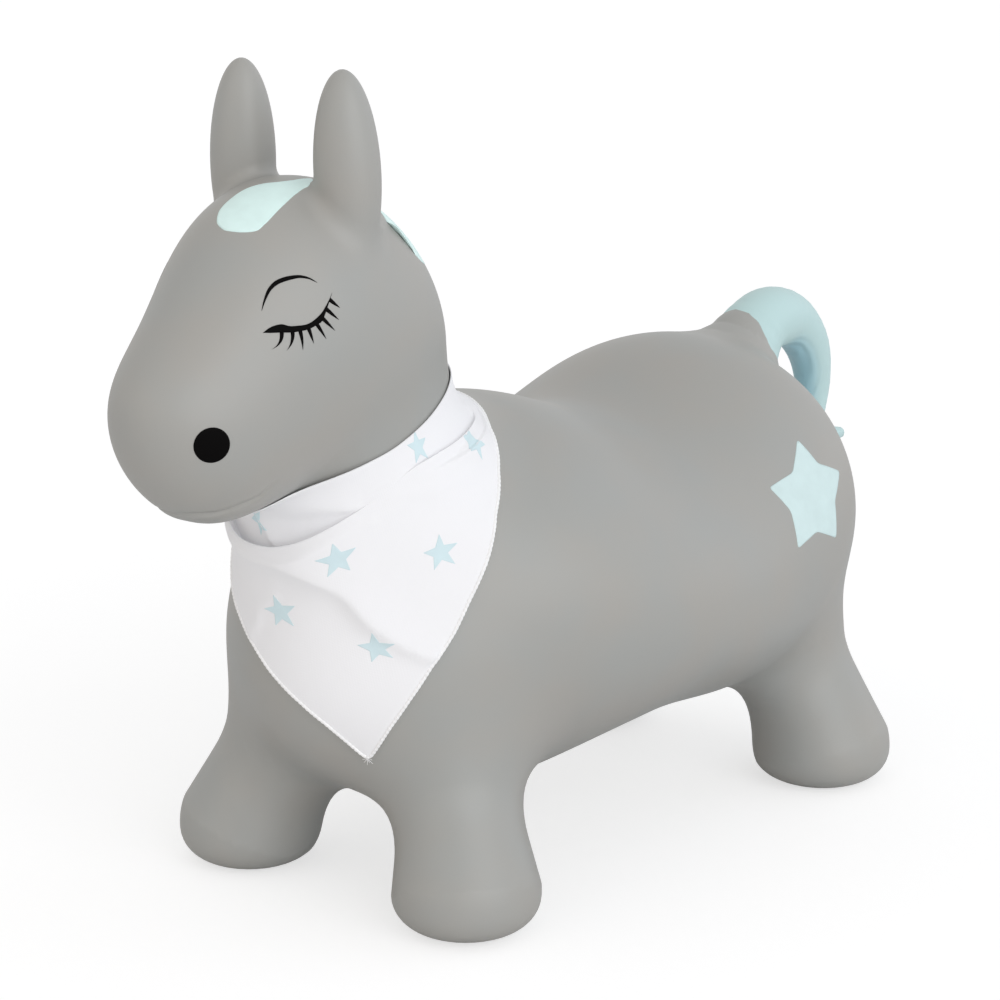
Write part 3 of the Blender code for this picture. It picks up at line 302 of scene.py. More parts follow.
def newPiece(name, mesh, material):
    piece = bpy.data.objects.new(name, mesh)
    scene.collection.objects.link(piece)
    mesh.materials.append(material)
    mesh.shade_smooth()
    return piece


def cleaned(mesh, mergeGap=1e-6):
    # Poles and seams are merged and every face is turned outwards.
    bm = bmesh.new()
    bm.from_mesh(mesh)
    bmesh.ops.remove_doubles(bm, verts=bm.verts, dist=mergeGap)
    bmesh.ops.recalc_face_normals(bm, faces=bm.faces)
    bm.to_mesh(mesh)
    bm.free()
    return mesh


def gridFaces(rowCount, columnCount, wrap=False):
    # Corner numbers of each cell of a grid of points that is stored row by row.
    row = np.arange(rowCount - 1)[:, None] * columnCount
    column = np.arange(columnCount if wrap else columnCount - 1)[None, :]
    beside = (column + 1) % columnCount
    corners = (row + column, row + beside, row + columnCount + beside, row + columnCount + column)
    return np.stack(np.broadcast_arrays(*corners), axis=-1).reshape(-1, 4)


def slabArrays(top, bottom, wrap=False):
    # A closed slab between two equal grids: both grids, and a rim round their open edges.
    # With wrap, a row closes on itself and row 0 is a pole.
    rowCount, columnCount = top.shape[:2]
    count = rowCount * columnCount
    faces = gridFaces(rowCount, columnCount, wrap)
    if wrap:
        ring = (rowCount - 1) * columnCount + np.arange(columnCount)
    else:
        ring = np.concatenate([
            np.arange(columnCount),
            np.arange(1, rowCount) * columnCount + columnCount - 1,
            count - 1 - np.arange(1, columnCount),
            np.arange(rowCount - 2, 0, -1) * columnCount,
        ])
    after = np.roll(ring, -1)
    rim = np.stack([after, ring, ring + count, after + count], axis=-1)
    points = np.concatenate([top.reshape(-1, 3), bottom.reshape(-1, 3)])
    return points, np.concatenate([faces, faces[:, ::-1] + count, rim])


def joined(parts):
    # Several (points, faces) as one, with the later faces' numbers moved on.
    points = []
    faces = []
    count = 0
    for partPoints, partFaces in parts:
        points.append(partPoints)
        faces.append(partFaces + count)
        count += len(partPoints)
    return np.concatenate(points), np.concatenate(faces)


def tubeArrays(line, radius, sideCount=10):
    # A round tube along a line, closed by a pole at each end. The side direction at each point is
    # carried on from the one before, so that the tube doesn't twist.
    line = np.asarray(line, float)
    radius = np.broadcast_to(radius, len(line))
    ways = unit(np.gradient(line, axis=0))
    side = unit(np.cross(ways[0], (0.31, 0.17, 0.93)))
    sides = []
    for way in ways:
        side = unit(side - way * (side @ way))
        sides.append(side)
    sides = np.array(sides)
    others = np.cross(ways, sides)
    angle = np.linspace(0, math.tau, sideCount, endpoint=False)
    ring = np.cos(angle)[None, :, None] * sides[:, None] + np.sin(angle)[None, :, None] * others[:, None]
    grid = line[:, None] + radius[:, None, None] * ring
    first = np.broadcast_to(line[:1, None], (1, sideCount, 3))
    last = np.broadcast_to(line[-1:, None], (1, sideCount, 3))
    grid = np.concatenate([first, grid, last])
    return grid.reshape(-1, 3), gridFaces(len(grid), sideCount, wrap=True)


# Materials.

def linearFromHex(text):
    # sRGB to linear: ((c + 0.055) / 1.055) ^ 2.4 above 0.04045, and c / 12.92 below.
    rows = np.array([int(text[k:k + 2], 16) / 255 for k in (0, 2, 4)])
    linear = np.where(rows > 0.04045, ((rows + 0.055) / 1.055) ** 2.4, rows / 12.92)
    return (*[float(value) for value in linear], 1.0)


def addNode(tree, kind, values=None, links=None, **settings):
    node = tree.nodes.new(kind)
    for key, value in settings.items():
        setattr(node, key, value)
    for key, value in (values or {}).items():
        node.inputs[key].default_value = value
    for key, socket in (links or {}).items():
        tree.links.new(socket, node.inputs[key])
    return node


def newMaterial(name, roughness, ior):
    material = bpy.data.materials.new(name)
    material.use_nodes = True
    tree = material.node_tree
    shader = tree.nodes["Principled BSDF"]
    shader.inputs["Roughness"].default_value = roughness
    shader.inputs["IOR"].default_value = ior
    return material, tree, shader


def waveScale(pitch):
    # A wave texture turns once every tau / (20 scale) metres.
    return math.tau / 20 / pitch


# The crook of the tail's curl, where shade is painted into the mint as a deeper blue: the middle of the
# bend as y and z, how far from it the painted shade reaches and over what length it fades, and how squarely
# the skin has to face it, from 0 to 1.
curl = {
    "centre": (0.2570, 0.2340), "reach": 0.050, "from": 0.246, "fade": 0.02, "facing": 0.3,
    "paintedShadeColour": "84bfd6", "paintedShadeShare": 0.55, "creasePitch": 0.0052, "creaseDepth": 0.0024,
}

vinyl = {
    "roughness": 0.46, "ior": 1.53, "cloudScale": 16.0,
    "grainScale": 650.0, "grainStrength": 0.05, "grainDepth": 0.0004,
}


def castVinyl(name, colour, warmColour, mintColour=None):
    # Rotationally cast soft PVC: matte, with a faint satin sheen, a fine grain from the mould's
    # blasted wall (about 1.5 mm between dimples, drawn coarse enough to show) and faint clouds of
    # warmer and cooler grey some 60 mm across. Where the mesh says so it is sprayed mint, and in the
    # crook of the tail's curl the mint is darkened to a deeper blue as painted shade.
    material, tree, shader = newMaterial(name, vinyl["roughness"], vinyl["ior"])
    place = addNode(tree, "ShaderNodeTexCoord").outputs["Object"]
    cloud = addNode(tree, "ShaderNodeTexNoise", {"Scale": vinyl["cloudScale"], "Detail": 2.0},
                    {"Vector": place})
    share = addNode(tree, "ShaderNodeMapRange",
                    {"From Min": 0.35, "From Max": 0.65, "To Min": 0.0, "To Max": 1.0},
                    {"Value": cloud.outputs["Fac"]})
    mix = addNode(tree, "ShaderNodeMix", {6: linearFromHex(colour), 7: linearFromHex(warmColour)},
                  {0: share.outputs["Result"]}, data_type="RGBA")
    colourOut = mix.outputs[2]
    if mintColour:
        edge = addNode(tree, "ShaderNodeAttribute", attribute_name="mintEdge")
        mask = addNode(tree, "ShaderNodeMapRange", {"From Min": 0.02, "From Max": 0.05},
                       {"Value": edge.outputs["Fac"]})
        paint = addNode(tree, "ShaderNodeMix", {7: linearFromHex(mintColour)},
                        {0: mask.outputs["Result"], 6: colourOut}, data_type="RGBA")
        # Painted shade: in the crook of the curl the mint is mixed towards a deeper blue, where the bend
        # lies in shade.
        crookPaintedShade = addNode(tree, "ShaderNodeAttribute", attribute_name="crookPaintedShade")
        crookShaded = addNode(tree, "ShaderNodeMix", {7: linearFromHex(curl["paintedShadeColour"])},
                         {0: crookPaintedShade.outputs["Fac"], 6: paint.outputs[2]}, data_type="RGBA")
        colourOut = crookShaded.outputs[2]
    tree.links.new(colourOut, shader.inputs["Base Color"])
    grain = addNode(tree, "ShaderNodeTexNoise", {"Scale": vinyl["grainScale"], "Detail": 2.0},
                    {"Vector": place})
    bump = addNode(tree, "ShaderNodeBump",
                   {"Strength": vinyl["grainStrength"], "Distance": vinyl["grainDepth"]},
                   {"Height": grain.outputs["Fac"]})
    if mintColour:
        # Fine creases run round the crook, where the skin is bent tight.
        y, z = curl["centre"]
        centred = addNode(tree, "ShaderNodeMapping", {"Location": (0, -y, -z)}, {"Vector": place})
        ring = addNode(tree, "ShaderNodeTexWave",
                       {"Scale": waveScale(curl["creasePitch"]), "Distortion": 3.0, "Detail": 1.0},
                       {"Vector": centred.outputs["Vector"]}, wave_type="RINGS", rings_direction="X")
        crease = addNode(tree, "ShaderNodeMath", None,
                         {0: ring.outputs["Fac"], 1: crookPaintedShade.outputs["Fac"]}, operation="MULTIPLY")
        bump = addNode(tree, "ShaderNodeBump", {"Strength": 0.6, "Distance": curl["creaseDepth"]},
                       {"Height": crease.outputs[0], "Normal": bump.outputs["Normal"]})
    tree.links.new(bump.outputs["Normal"], shader.inputs["Normal"])
    return material


def plainFinish(name, colour, roughness, ior, grainScale, grainDepth, specular=0.5):
    # One colour with a faint uneven coat, and a fine grain.
    material, tree, shader = newMaterial(name, roughness, ior)
    shader.inputs["Specular IOR Level"].default_value = specular
    place = addNode(tree, "ShaderNodeTexCoord").outputs["Object"]
    coat = addNode(tree, "ShaderNodeTexNoise", {"Scale": 90.0, "Detail": 3.0}, {"Vector": place})
    depth = addNode(tree, "ShaderNodeMapRange",
                    {"From Min": 0.3, "From Max": 0.7, "To Min": 0.965, "To Max": 1.03},
                    {"Value": coat.outputs["Fac"]})
    tint = addNode(tree, "ShaderNodeMix", {0: 1.0, 6: linearFromHex(colour)},
                   {7: depth.outputs["Result"]}, data_type="RGBA", blend_type="MULTIPLY")
    tree.links.new(tint.outputs[2], shader.inputs["Base Color"])
    grain = addNode(tree, "ShaderNodeTexNoise", {"Scale": grainScale, "Detail": 2.0}, {"Vector": place})
    bump = addNode(tree, "ShaderNodeBump", {"Strength": 0.08, "Distance": grainDepth},
                   {"Height": grain.outputs["Fac"]})
    tree.links.new(bump.outputs["Normal"], shader.inputs["Normal"])
    return material


def wovenCotton(name, colour):
    # Plain-woven printed cotton, bleached: no gloss, a soft fibre sheen, and threads 0.35 mm apart,
    # drawn at 1.6 mm so that they show at all. The weave follows the cloth's own map, in metres.
    material, tree, shader = newMaterial(name, 0.92, 1.47)
    shader.inputs["Sheen Weight"].default_value = 0.12
    shader.inputs["Sheen Roughness"].default_value = 0.5
    shader.inputs["Specular IOR Level"].default_value = 0.25
    shader.inputs["Base Color"].default_value = linearFromHex(colour)
    flat = addNode(tree, "ShaderNodeUVMap", uv_map="cloth").outputs["UV"]
    heights = []
    for way in ("X", "Y"):
        wave = addNode(tree, "ShaderNodeTexWave",
                       {"Scale": waveScale(0.0016), "Distortion": 0.6, "Detail": 1.0},
                       {"Vector": flat}, bands_direction=way)
        heights.append(wave.outputs["Fac"])
    weave = addNode(tree, "ShaderNodeMath", None, {0: heights[0], 1: heights[1]}, operation="MULTIPLY")
    slub = addNode(tree, "ShaderNodeTexNoise", {"Scale": 240.0, "Detail": 3.0}, {"Vector": flat})
    both = addNode(tree, "ShaderNodeMath", None, {0: weave.outputs[0], 1: slub.outputs["Fac"]},
                   operation="ADD")
    bump = addNode(tree, "ShaderNodeBump", {"Strength": 0.10, "Distance": 0.0003},
                   {"Height": both.outputs[0]})
    tree.links.new(bump.outputs["Normal"], shader.inputs["Normal"])
    return material


print("materials")
greyVinyl = castVinyl("softPvcRotationallyCastGrey", "a3a4a1", "a6a49f", "bfdbdb")
# Thin masked spray: chalky, a little duller than the skin under it.
starSpray = plainFinish("pvcSprayPaintPaleMint", "d2e7e7", 0.5, 1.5, 700.0, 0.0003)
mintSpray = plainFinish("pvcSprayPaintMint", "e4fdfa", 0.5, 1.5, 700.0, 0.0003)
# Pad-printed ink: a flat deep black that hardly mirrors anything.
blackInk = plainFinish("padPrintedInkBlack", "060505", 0.6, 1.5, 900.0, 0.0002, specular=0.05)
# Injection-moulded against polished steel: the smoothest surface here.
plugVinyl = plainFinish("injectionMouldedPvcWhite", "e4e4de", 0.35, 1.53, 500.0, 0.0003)
cotton = wovenCotton("printedPlainWeaveCottonWhite", "f6f6f8")
# Pigment soaked into the threads, as dull as the cloth, and spun thread, dull and slightly hairy.
starInk = plainFinish("pigmentPrintOnCottonBlue", "d6eaef", 0.92, 1.47, 1200.0, 0.0003)
hemThread = plainFinish("overlockedCottonThreadWhite", "fafafa", 0.9, 1.47, 1500.0, 0.0004)


# The skin.

skinCut = {
    "bodyLow": (-0.156, -0.254, -0.010), "bodyHigh": (0.156, 0.344, 0.312), "bodyCell": 0.0036,
    "headLow": (-0.088, -0.342, 0.222), "headHigh": (0.088, -0.097, 0.497), "headCell": 0.0016,
    "neckPlace": (0.0, -0.1625, 0.2820), "neckTilt": 20.0, "neckLap": 0.0035,
    "legTop": 0.048, "earLow": 0.436, "tailStart": 0.2315, "tailLow": 0.24, "curlStart": 0.253,
    "mintStart": 0.2107, "mintInset": 0.0092, "lip": 0.0030,
    "mintWaves": ((700, 0), (310, 1.3)), "mintWaveHeight": 0.0003,
    "headFront": -0.10, "sink": 0.0006, "sinkRun": 0.004,
}


def skinNet(field, low, high, cell):
    # Surface net: one point in every grid cell that the skin crosses, at the mean of the crossings on
    # the cell's edges, and one four-sided face round every grid edge that the skin crosses.
    axes = [np.arange(low[k], high[k] + cell, cell) for k in range(3)]
    grid = np.stack(np.meshgrid(*axes, indexing="ij"), axis=-1)
    value = field(grid)
    inside = value < 0
    size = np.array(value.shape)
    total = np.zeros(tuple(size - 1) + (3,))
    count = np.zeros(tuple(size - 1))
    crossings = []
    for axis in range(3):
        lower = [slice(None)] * 3
        upper = [slice(None)] * 3
        lower[axis] = slice(0, -1)
        upper[axis] = slice(1, None)
        a = value[tuple(lower)]
        b = value[tuple(upper)]
        crossed = inside[tuple(lower)] != inside[tuple(upper)]
        share = np.where(crossed, a / np.where(crossed, a - b, 1), 0)
        place = grid[tuple(lower)] + share[..., None] * np.eye(3)[axis] * cell
        place = np.where(crossed[..., None], place, 0)
        others = [k for k in range(3) if k != axis]
        for first in (0, 1):
            for second in (0, 1):
                part = [slice(None)] * 3
                part[others[0]] = slice(first, first + size[others[0]] - 1)
                part[others[1]] = slice(second, second + size[others[1]] - 1)
                total += place[tuple(part)]
                count += crossed[tuple(part)]
        crossings.append((crossed, inside[tuple(lower)]))
    number = np.full(count.shape, -1)
    live = count > 0
    number[live] = np.arange(live.sum())
    points = total[live] / count[live][:, None]
    faces = []
    for axis, (crossed, fromInside) in enumerate(crossings):
        b = (axis + 1) % 3
        c = (axis + 2) % 3
        rows = np.argwhere(crossed)
        whole = (rows[:, b] > 0) & (rows[:, b] < size[b] - 1)
        whole &= (rows[:, c] > 0) & (rows[:, c] < size[c] - 1)
        rows = rows[whole]
        corners = []
        for stepB, stepC in ((1, 1), (0, 1), (0, 0), (1, 0)):
            corner = rows.copy()
            corner[:, b] -= stepB
            corner[:, c] -= stepC
            corners.append(number[tuple(corner.T)])
        quads = np.stack(corners, axis=-1)
        flipped = ~fromInside[tuple(rows.T)]
        quads[flipped] = quads[flipped][:, ::-1]
        faces.append(quads)
    return points, np.concatenate(faces)


def relaxed(points, faces, field, roundCount):
    # Each point goes half way to the mean of its neighbours, and back along the slope onto the skin.
    pairs = np.concatenate([faces[:, [k, (k + 1) % 4]] for k in range(4)])
    pairs = np.concatenate([pairs, pairs[:, ::-1]])
    count = np.maximum(np.bincount(pairs[:, 0], minlength=len(points)), 1)
    for _ in range(roundCount):
        sums = [np.bincount(pairs[:, 0], points[pairs[:, 1], k], len(points)) for k in range(3)]
        mean = np.stack(sums, axis=-1) / count[:, None]
        points = settle((points + mean) / 2, field, 0, 2)
    return settle(points, field, 0, 3)


def outwardNormals(points):
    # The field's slope is square to the skin; on the flat of a sole it points straight down.
    normals = unit(slopeOf(skinField, points))
    flat = points[:, 2] < 1e-6
    normals[flat] = (0, 0, -1)
    return normals


def openEdges(faces):
    # The edges that only one face has, each in that face's direction.
    pairs = np.concatenate([faces[:, [k, (k + 1) % 4]] for k in range(4)])
    size = faces.max() + 1
    code = pairs[:, 0] * size + pairs[:, 1]
    back = pairs[:, 1] * size + pairs[:, 0]
    return pairs[~np.isin(code, back)]


def skinPiece(name, points, faces, normals, chosen, material):
    # The chosen faces as a closed piece. Each opening gets a lip that runs straight in, and a floor
    # across the end of the lip, so that nothing of it lies in the skin.
    used, faces = np.unique(faces[chosen], return_inverse=True)
    faces = faces.reshape(-1, 4)
    points = points[used]
    normals = normals[used]
    border = openEdges(faces)
    rim, number = np.unique(border, return_inverse=True)
    number = number.reshape(-1, 2) + len(points)
    lip = np.stack([border[:, 1], border[:, 0], number[:, 0], number[:, 1]], axis=-1)
    mesh = newMesh(name, np.concatenate([points, points[rim] - normals[rim] * skinCut["lip"]]),
                   np.concatenate([faces, lip]))
    bm = bmesh.new()
    bm.from_mesh(mesh)
    bmesh.ops.holes_fill(bm, edges=bm.edges, sides=0)
    bm.to_mesh(mesh)
    bm.free()
    piece = newPiece(name, mesh, material)
    mesh.normals_split_custom_set_from_vertices(np.concatenate([normals, normals[rim]]).tolist())
    return piece, np.concatenate([used, used[rim]])


def mintEdge(points):
    # How far a point is inside the mint spray, in centimetres: behind a plane with a slightly wavy
    # edge, and nearer to the tail than to the rump by the inset, so that grey rises in the bend.
    wave = sum(skinCut["mintWaveHeight"] * np.sin(points[:, 0] * rate + shift)
               for rate, shift in skinCut["mintWaves"])
    behind = points[:, 1] - skinCut["mintStart"] + wave
    onTail = bodyField(points) - tailField(points) - skinCut["mintInset"]
    return np.minimum(behind, onTail) * 100


def crookShadeShare(points, normals):
    # How much shade is painted into the mint: the painted shade's share, times a value that goes
    # towards 1 where the skin looks in to the middle of the curl's bend and lies near it.
    inward = np.array((0, *curl["centre"])) - points
    inward[:, 0] = 0
    away = np.linalg.norm(inward, axis=1)
    facing = (normals * inward).sum(axis=1) / away
    near = ease((curl["reach"] - away) / curl["fade"]) * ease((points[:, 1] - curl["from"]) / curl["fade"])
    return curl["paintedShadeShare"] * ease((facing - curl["facing"]) / (1 - curl["facing"])) * near


def addMint(piece, points, normals):
    # The second attribute holds the shade painted into the crook of the tail's curl.
    for key, values in (("mintEdge", mintEdge(points)), ("crookPaintedShade", crookShadeShare(points, normals))):
        attribute = piece.data.attributes.new(key, "FLOAT", "POINT")
        attribute.data.foreach_set("value", values.astype(np.float32))


print("skin of the body")
bodyPoints, bodyFaces = skinNet(skinField, skinCut["bodyLow"], skinCut["bodyHigh"], skinCut["bodyCell"])
bodyPoints = relaxed(bodyPoints, bodyFaces, skinField, 3)
bodyPoints[:, 2] = np.maximum(bodyPoints[:, 2], 0)
bodyNormals = outwardNormals(bodyPoints)
centres = bodyPoints[bodyFaces].mean(axis=1)
tilt = math.radians(skinCut["neckTilt"])
neckUp = np.array((0, -math.sin(tilt), math.cos(tilt)))
aboveNeck = (centres - np.array(skinCut["neckPlace"])) @ neckUp
headside = (centres[:, 1] < skinCut["headFront"]) & (aboveNeck > skinCut["neckLap"])
inLeg = centres[:, 2] < skinCut["legTop"]
inTail = ((centres[:, 1] > skinCut["tailStart"]) & (centres[:, 2] > skinCut["tailLow"])) | (
    centres[:, 1] > skinCut["curlStart"])

# Where the body's skin runs on under the head's it is sunk by 0.6 mm.
pointAbove = (bodyPoints - np.array(skinCut["neckPlace"])) @ neckUp
sink = skinCut["sink"] * ease((pointAbove + skinCut["sinkRun"]) / skinCut["sinkRun"])
sink *= bodyPoints[:, 1] < skinCut["headFront"]
sunkPoints = bodyPoints - bodyNormals * sink[:, None]

bodySkin, used = skinPiece("bodySkin", sunkPoints, bodyFaces, bodyNormals,
                           ~(headside | inLeg | inTail), greyVinyl)
addMint(bodySkin, bodyPoints[used], bodyNormals[used])
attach(bodySkin, "animal")
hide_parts("trunk_skin")

for end, frontward in (("front", True), ("rear", False)):
    for sideName, side in (("left", 1), ("right", -1)):
        chosen = inLeg & (centres[:, 0] * side > 0) & ((centres[:, 1] < 0) == frontward)
        name = end + sideName.capitalize() + "Leg"
        leg, _ = skinPiece(name, bodyPoints, bodyFaces, bodyNormals, chosen, greyVinyl)
        x, y, z = animalForm[end + "Foot"]
        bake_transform(leg)
        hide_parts("leg_" + end + "_" + sideName, "foot_" + end + "_" + sideName)

print("tail")
tail, used = skinPiece("tailCurl", bodyPoints, bodyFaces, bodyNormals, inTail, greyVinyl)
addMint(tail, bodyPoints[used], bodyNormals[used])
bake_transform(tail)
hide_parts("tail_root", "tail")

print("skin of the head")
headPoints, headFaces = skinNet(skinField, skinCut["headLow"], skinCut["headHigh"], skinCut["headCell"])
headPoints = relaxed(headPoints, headFaces, skinField, 3)

# The mouth: a shallow crease from the chin up to the cheek on both sides, over a fuller lower lip.
mouth = {
    "line": ((-0.0012, -0.3046, 0.2614), (0.0012, -0.3045, 0.2614), (0.0132, -0.3026, 0.2620),
             (0.0187, -0.2984, 0.2624), (0.0236, -0.2934, 0.2630), (0.0286, -0.2878, 0.2646),
             (0.0325, -0.2834, 0.2666), (0.0349, -0.2770, 0.2684), (0.0371, -0.2725, 0.2706),
             (0.0393, -0.2695, 0.2734), (0.0417, -0.2669, 0.2769), (0.0440, -0.2634, 0.2808)),
    "depth": 0.0017,
    "halfWidth": 0.0017,
    "fadeFrom": 0.30,
    "lipHeight": 0.0007,
    "lipBelow": 0.0052,
    "lipHalfWidth": 0.0038,
    "lipReach": 0.012,
    "leastShare": 0.25,  # what is left of the crease's depth at its far end
    "endFade": 0.15,
    "front": -0.24,
    "top": 0.30,
}


def mouthDent(points):
    # Depth of the crease: a bell round its line, fading from part of its length on. Below it a
    # second, wider bell swells the lip.
    whole = np.zeros(points.shape[:-1])
    close = (points[..., 1] < mouth["front"]) & (points[..., 2] < mouth["top"])
    points = points[close]
    points[:, 0] = np.abs(points[:, 0])
    best, offset, _, along = nearestOnLine(points, smoothLine(mouth["line"], 2))
    drop = -offset[:, 2]
    fade = 1 - ease((along - mouth["fadeFrom"]) / (1 - mouth["fadeFrom"]))
    crease = np.exp(-(best / mouth["halfWidth"]) ** 2)
    lip = np.exp(-((drop - mouth["lipBelow"]) / mouth["lipHalfWidth"]) ** 2
                 - (best / mouth["lipReach"]) ** 4)
    least = mouth["leastShare"]
    whole[close] = mouth["depth"] * crease * (least + (1 - least) * fade) - mouth["lipHeight"] * lip * fade
    whole[close] *= ease((1 - along) / mouth["endFade"])
    return whole


def lippedField(points):
    return skinField(points) + mouthDent(points)


headPoints = settle(headPoints, lippedField, 0, 3)
headNormals = unit(slopeOf(lippedField, headPoints))
centres = headPoints[headFaces].mean(axis=1)
aboveNeck = (centres - np.array(skinCut["neckPlace"])) @ neckUp
headside = aboveNeck > -skinCut["neckLap"]
inEar = centres[:, 2] > skinCut["earLow"]
headSkin, _ = skinPiece("headSkin", headPoints, headFaces, headNormals, headside & ~inEar, greyVinyl)
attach(headSkin, "animal")
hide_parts("head_skin")
for sideName, side in (("left", 1), ("right", -1)):
    chosen = inEar & (centres[:, 0] * side > 0)
    ear, _ = skinPiece(sideName + "Ear", headPoints, headFaces, headNormals, chosen, greyVinyl)
    x, y, z = animalForm["earPlace"]
    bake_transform(ear)
    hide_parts("ear_root_" + sideName, "ear_" + sideName)


# Printed marks.

# Each mark has its own face: a place on the skin, the way it looks, and points in metres to the
# right and up on that face. Marks lie on the skin as thin closed films.
marks = {
    "film": 0.00016,
    "sunk": 0.00012,
    "startBehind": 0.022,
    "reach": 0.052,
    "forelock": {
        "place": (0.0, -0.2305, 0.4235), "out": (0.0, -0.464, 0.886),
        "edge": ((-2.2, -32.2), (3.3, -35.4), (8.0, -36.1), (16.0, -33.9), (22.3, -29.2), (23.7, -23.7),
                 (24.0, -16.9), (23.1, -3.7), (21.5, 6.3), (20.6, 12.8), (21.0, 18.3), (9.9, 29.9),
                 (9.8, 19.4), (6.6, 10.5), (0.5, 4.0), (-4.6, -3.5), (-6.7, -13.1), (-7.0, -23.5)),
    },
    "mane": {
        "place": (0.0, -0.1370, 0.3960), "out": (0.0, 0.80, 0.60),
        "edge": ((-42, 28), (-46, 20), (-47, 8), (-44, -6), (-32, -16), (0, -21), (32, -16), (44, -6),
                 (47, 8), (46, 20), (42, 28), (20, 31), (0, 32), (-20, 31)),
    },
    "star": {
        "place": (0.1230, 0.1175, 0.2050), "out": (0.913, 0.0, 0.409), "half": 38.0,
        "rounding": 2.6,
        "tips": ((0.27, 0.94), (0.45, 0.46), (1.00, 0.23), (0.58, -0.21), (0.48, -0.79),
                 (-0.09, -0.58), (-0.66, -0.74), (-0.59, -0.13), (-0.82, 0.34), (-0.20, 0.45)),
    },
    "eye": {
        "place": (0.0536, -0.2534, 0.3684), "out": (0.878, -0.408, 0.251),
        "brow": ((-22.5, 5.0), (-19.8, 10.9), (-16.1, 16.3), (-10.5, 19.7), (-1.3, 21.1), (4.9, 19.9),
                 (9.7, 17.1)),
        "browWidth": 2.3, "browTaper": 0.42, "browEnd": 0.04,
        "lidTop": ((-23.6, -6.8), (-19.0, -4.2), (-13.3, -3.2), (-9.1, -4.5), (-5.0, -4.8), (2.1, -4.2),
                   (9.3, 0.1), (14.5, 6.2), (17.6, 10.9)),
        "lidLow": ((-23.6, -6.8), (-19.0, -7.3), (-14.3, -7.6), (-8.1, -8.1), (-3.3, -7.9), (1.9, -7.2),
                   (6.9, -5.2), (10.7, -2.5), (17.6, 10.9)),
        "roots": ((-14.3, -7.6), (-8.1, -8.1), (-3.3, -7.9), (1.9, -7.2), (6.9, -5.2), (10.7, -2.5),
                  (13.9, 1.8), (16.8, 6.4)),
        "tips": ((-20.1, -16.0), (-11.6, -17.3), (-2.4, -18.0), (4.2, -15.1), (11.7, -13.3),
                 (17.3, -9.3), (20.1, -3.8), (21.3, 2.6)),
        "lashHalfWidth": 1.15, "lashSunk": 1.4, "lashPoint": 1.6,
        "curl": (4.6, 3.0, 0.8, 0, 0, 0, 0, 0),
    },
    "nostril": {"place": (0.0383, -0.3088, 0.3057), "out": (0.842, -0.533, -0.082), "radius": 9.8},
}


def onSkin(plane, place, out, side, lift):
    # Points of a mark's own face, given in millimetres, carried straight in along its looking
    # direction until they meet the skin, then lifted off it.
    out = unit(out)
    right = unit(np.cross((0, 0, 1), out))
    up = np.cross(out, right)
    start = np.array(place) + plane[..., :1] * right / 1000 + plane[..., 1:] * up / 1000
    start = start - out * marks["startBehind"]
    flip = np.array((side, 1, 1))
    ways = np.broadcast_to(out * flip, start.shape)
    reach = strike(start * flip, ways, skinField, 0, marks["reach"])
    hit = start * flip + ways * reach[..., None]
    normal = unit(slopeOf(skinField, hit))
    return [hit + normal * height for height in lift]


def radialGrid(edge, rowCount):
    # From the middle of an outline out to its edge, in even shares.
    middle = edge.mean(axis=0)
    share = np.linspace(0, 1, rowCount)[:, None, None]
    return middle + share * (edge - middle)[None]


def between(low, high, rowCount):
    # Straight lines between two edge curves of equal count.
    share = np.linspace(0, 1, rowCount)[:, None, None]
    return low[None] + share * (high - low)[None]


def printFilm(name, grids, mark, side, material, node):
    # One mark from one or more grids of its face's points; a grid marked True closes on itself.
    parts = []
    for grid, wrap in grids:
        lifts = (marks["film"], -marks["sunk"])
        top, bottom = onSkin(grid, mark["place"], mark["out"], side, lifts)
        parts.append(slabArrays(top, bottom, wrap))
    piece = newPiece(name, cleaned(newMesh(name, *joined(parts))), material)
    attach(piece, "animal")
    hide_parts(node)
    return piece


def resampled(line, count):
    # Points at even distances along a line.
    line = np.asarray(line, float)
    length = np.concatenate([[0], np.cumsum(np.linalg.norm(np.diff(line, axis=0), axis=1))])
    want = np.linspace(0, length[-1], count)
    return np.stack([np.interp(want, length, line[:, k]) for k in range(line.shape[1])], axis=-1)


def roundedStar(star):
    # Straight edges with softly rounded tips and inner corners, closed, in millimetres: near each
    # corner a parabola takes over, from a point on the edge before it to one on the edge after.
    corners = np.array(star["tips"]) * star["half"]
    rows = []
    for before, corner, after in zip(np.roll(corners, 1, axis=0), corners, np.roll(corners, -1, axis=0)):
        inward = corner + (before - corner) / np.linalg.norm(before - corner) * star["rounding"]
        outward = corner + (after - corner) / np.linalg.norm(after - corner) * star["rounding"]
        share = np.linspace(0, 1, 7)[:, None]
        rows.append((1 - share) ** 2 * inward + 2 * share * (1 - share) * corner + share**2 * outward)
    edge = np.concatenate(rows)
    return resampled(np.vstack([edge, edge[:1]]), 241)[:-1]


def browGrid(eye):
    # A brush stroke: full width along its middle, and towards each end it narrows as a power of the
    # distance to that end.
    line = resampled(smoothLine(eye["brow"], 8), 61)
    run = unit(np.gradient(line, axis=0))
    normal = np.stack([-run[:, 1], run[:, 0]], axis=-1)
    share = np.linspace(0, 1, len(line))
    toEnd = np.minimum(share, 1 - share) / eye["browTaper"]
    taper = np.clip(toEnd, eye["browEnd"], 1)[:, None] ** 0.7
    width = eye["browWidth"]
    return between(line - normal * taper * width / 2, line + normal * taper * width / 2, 5)


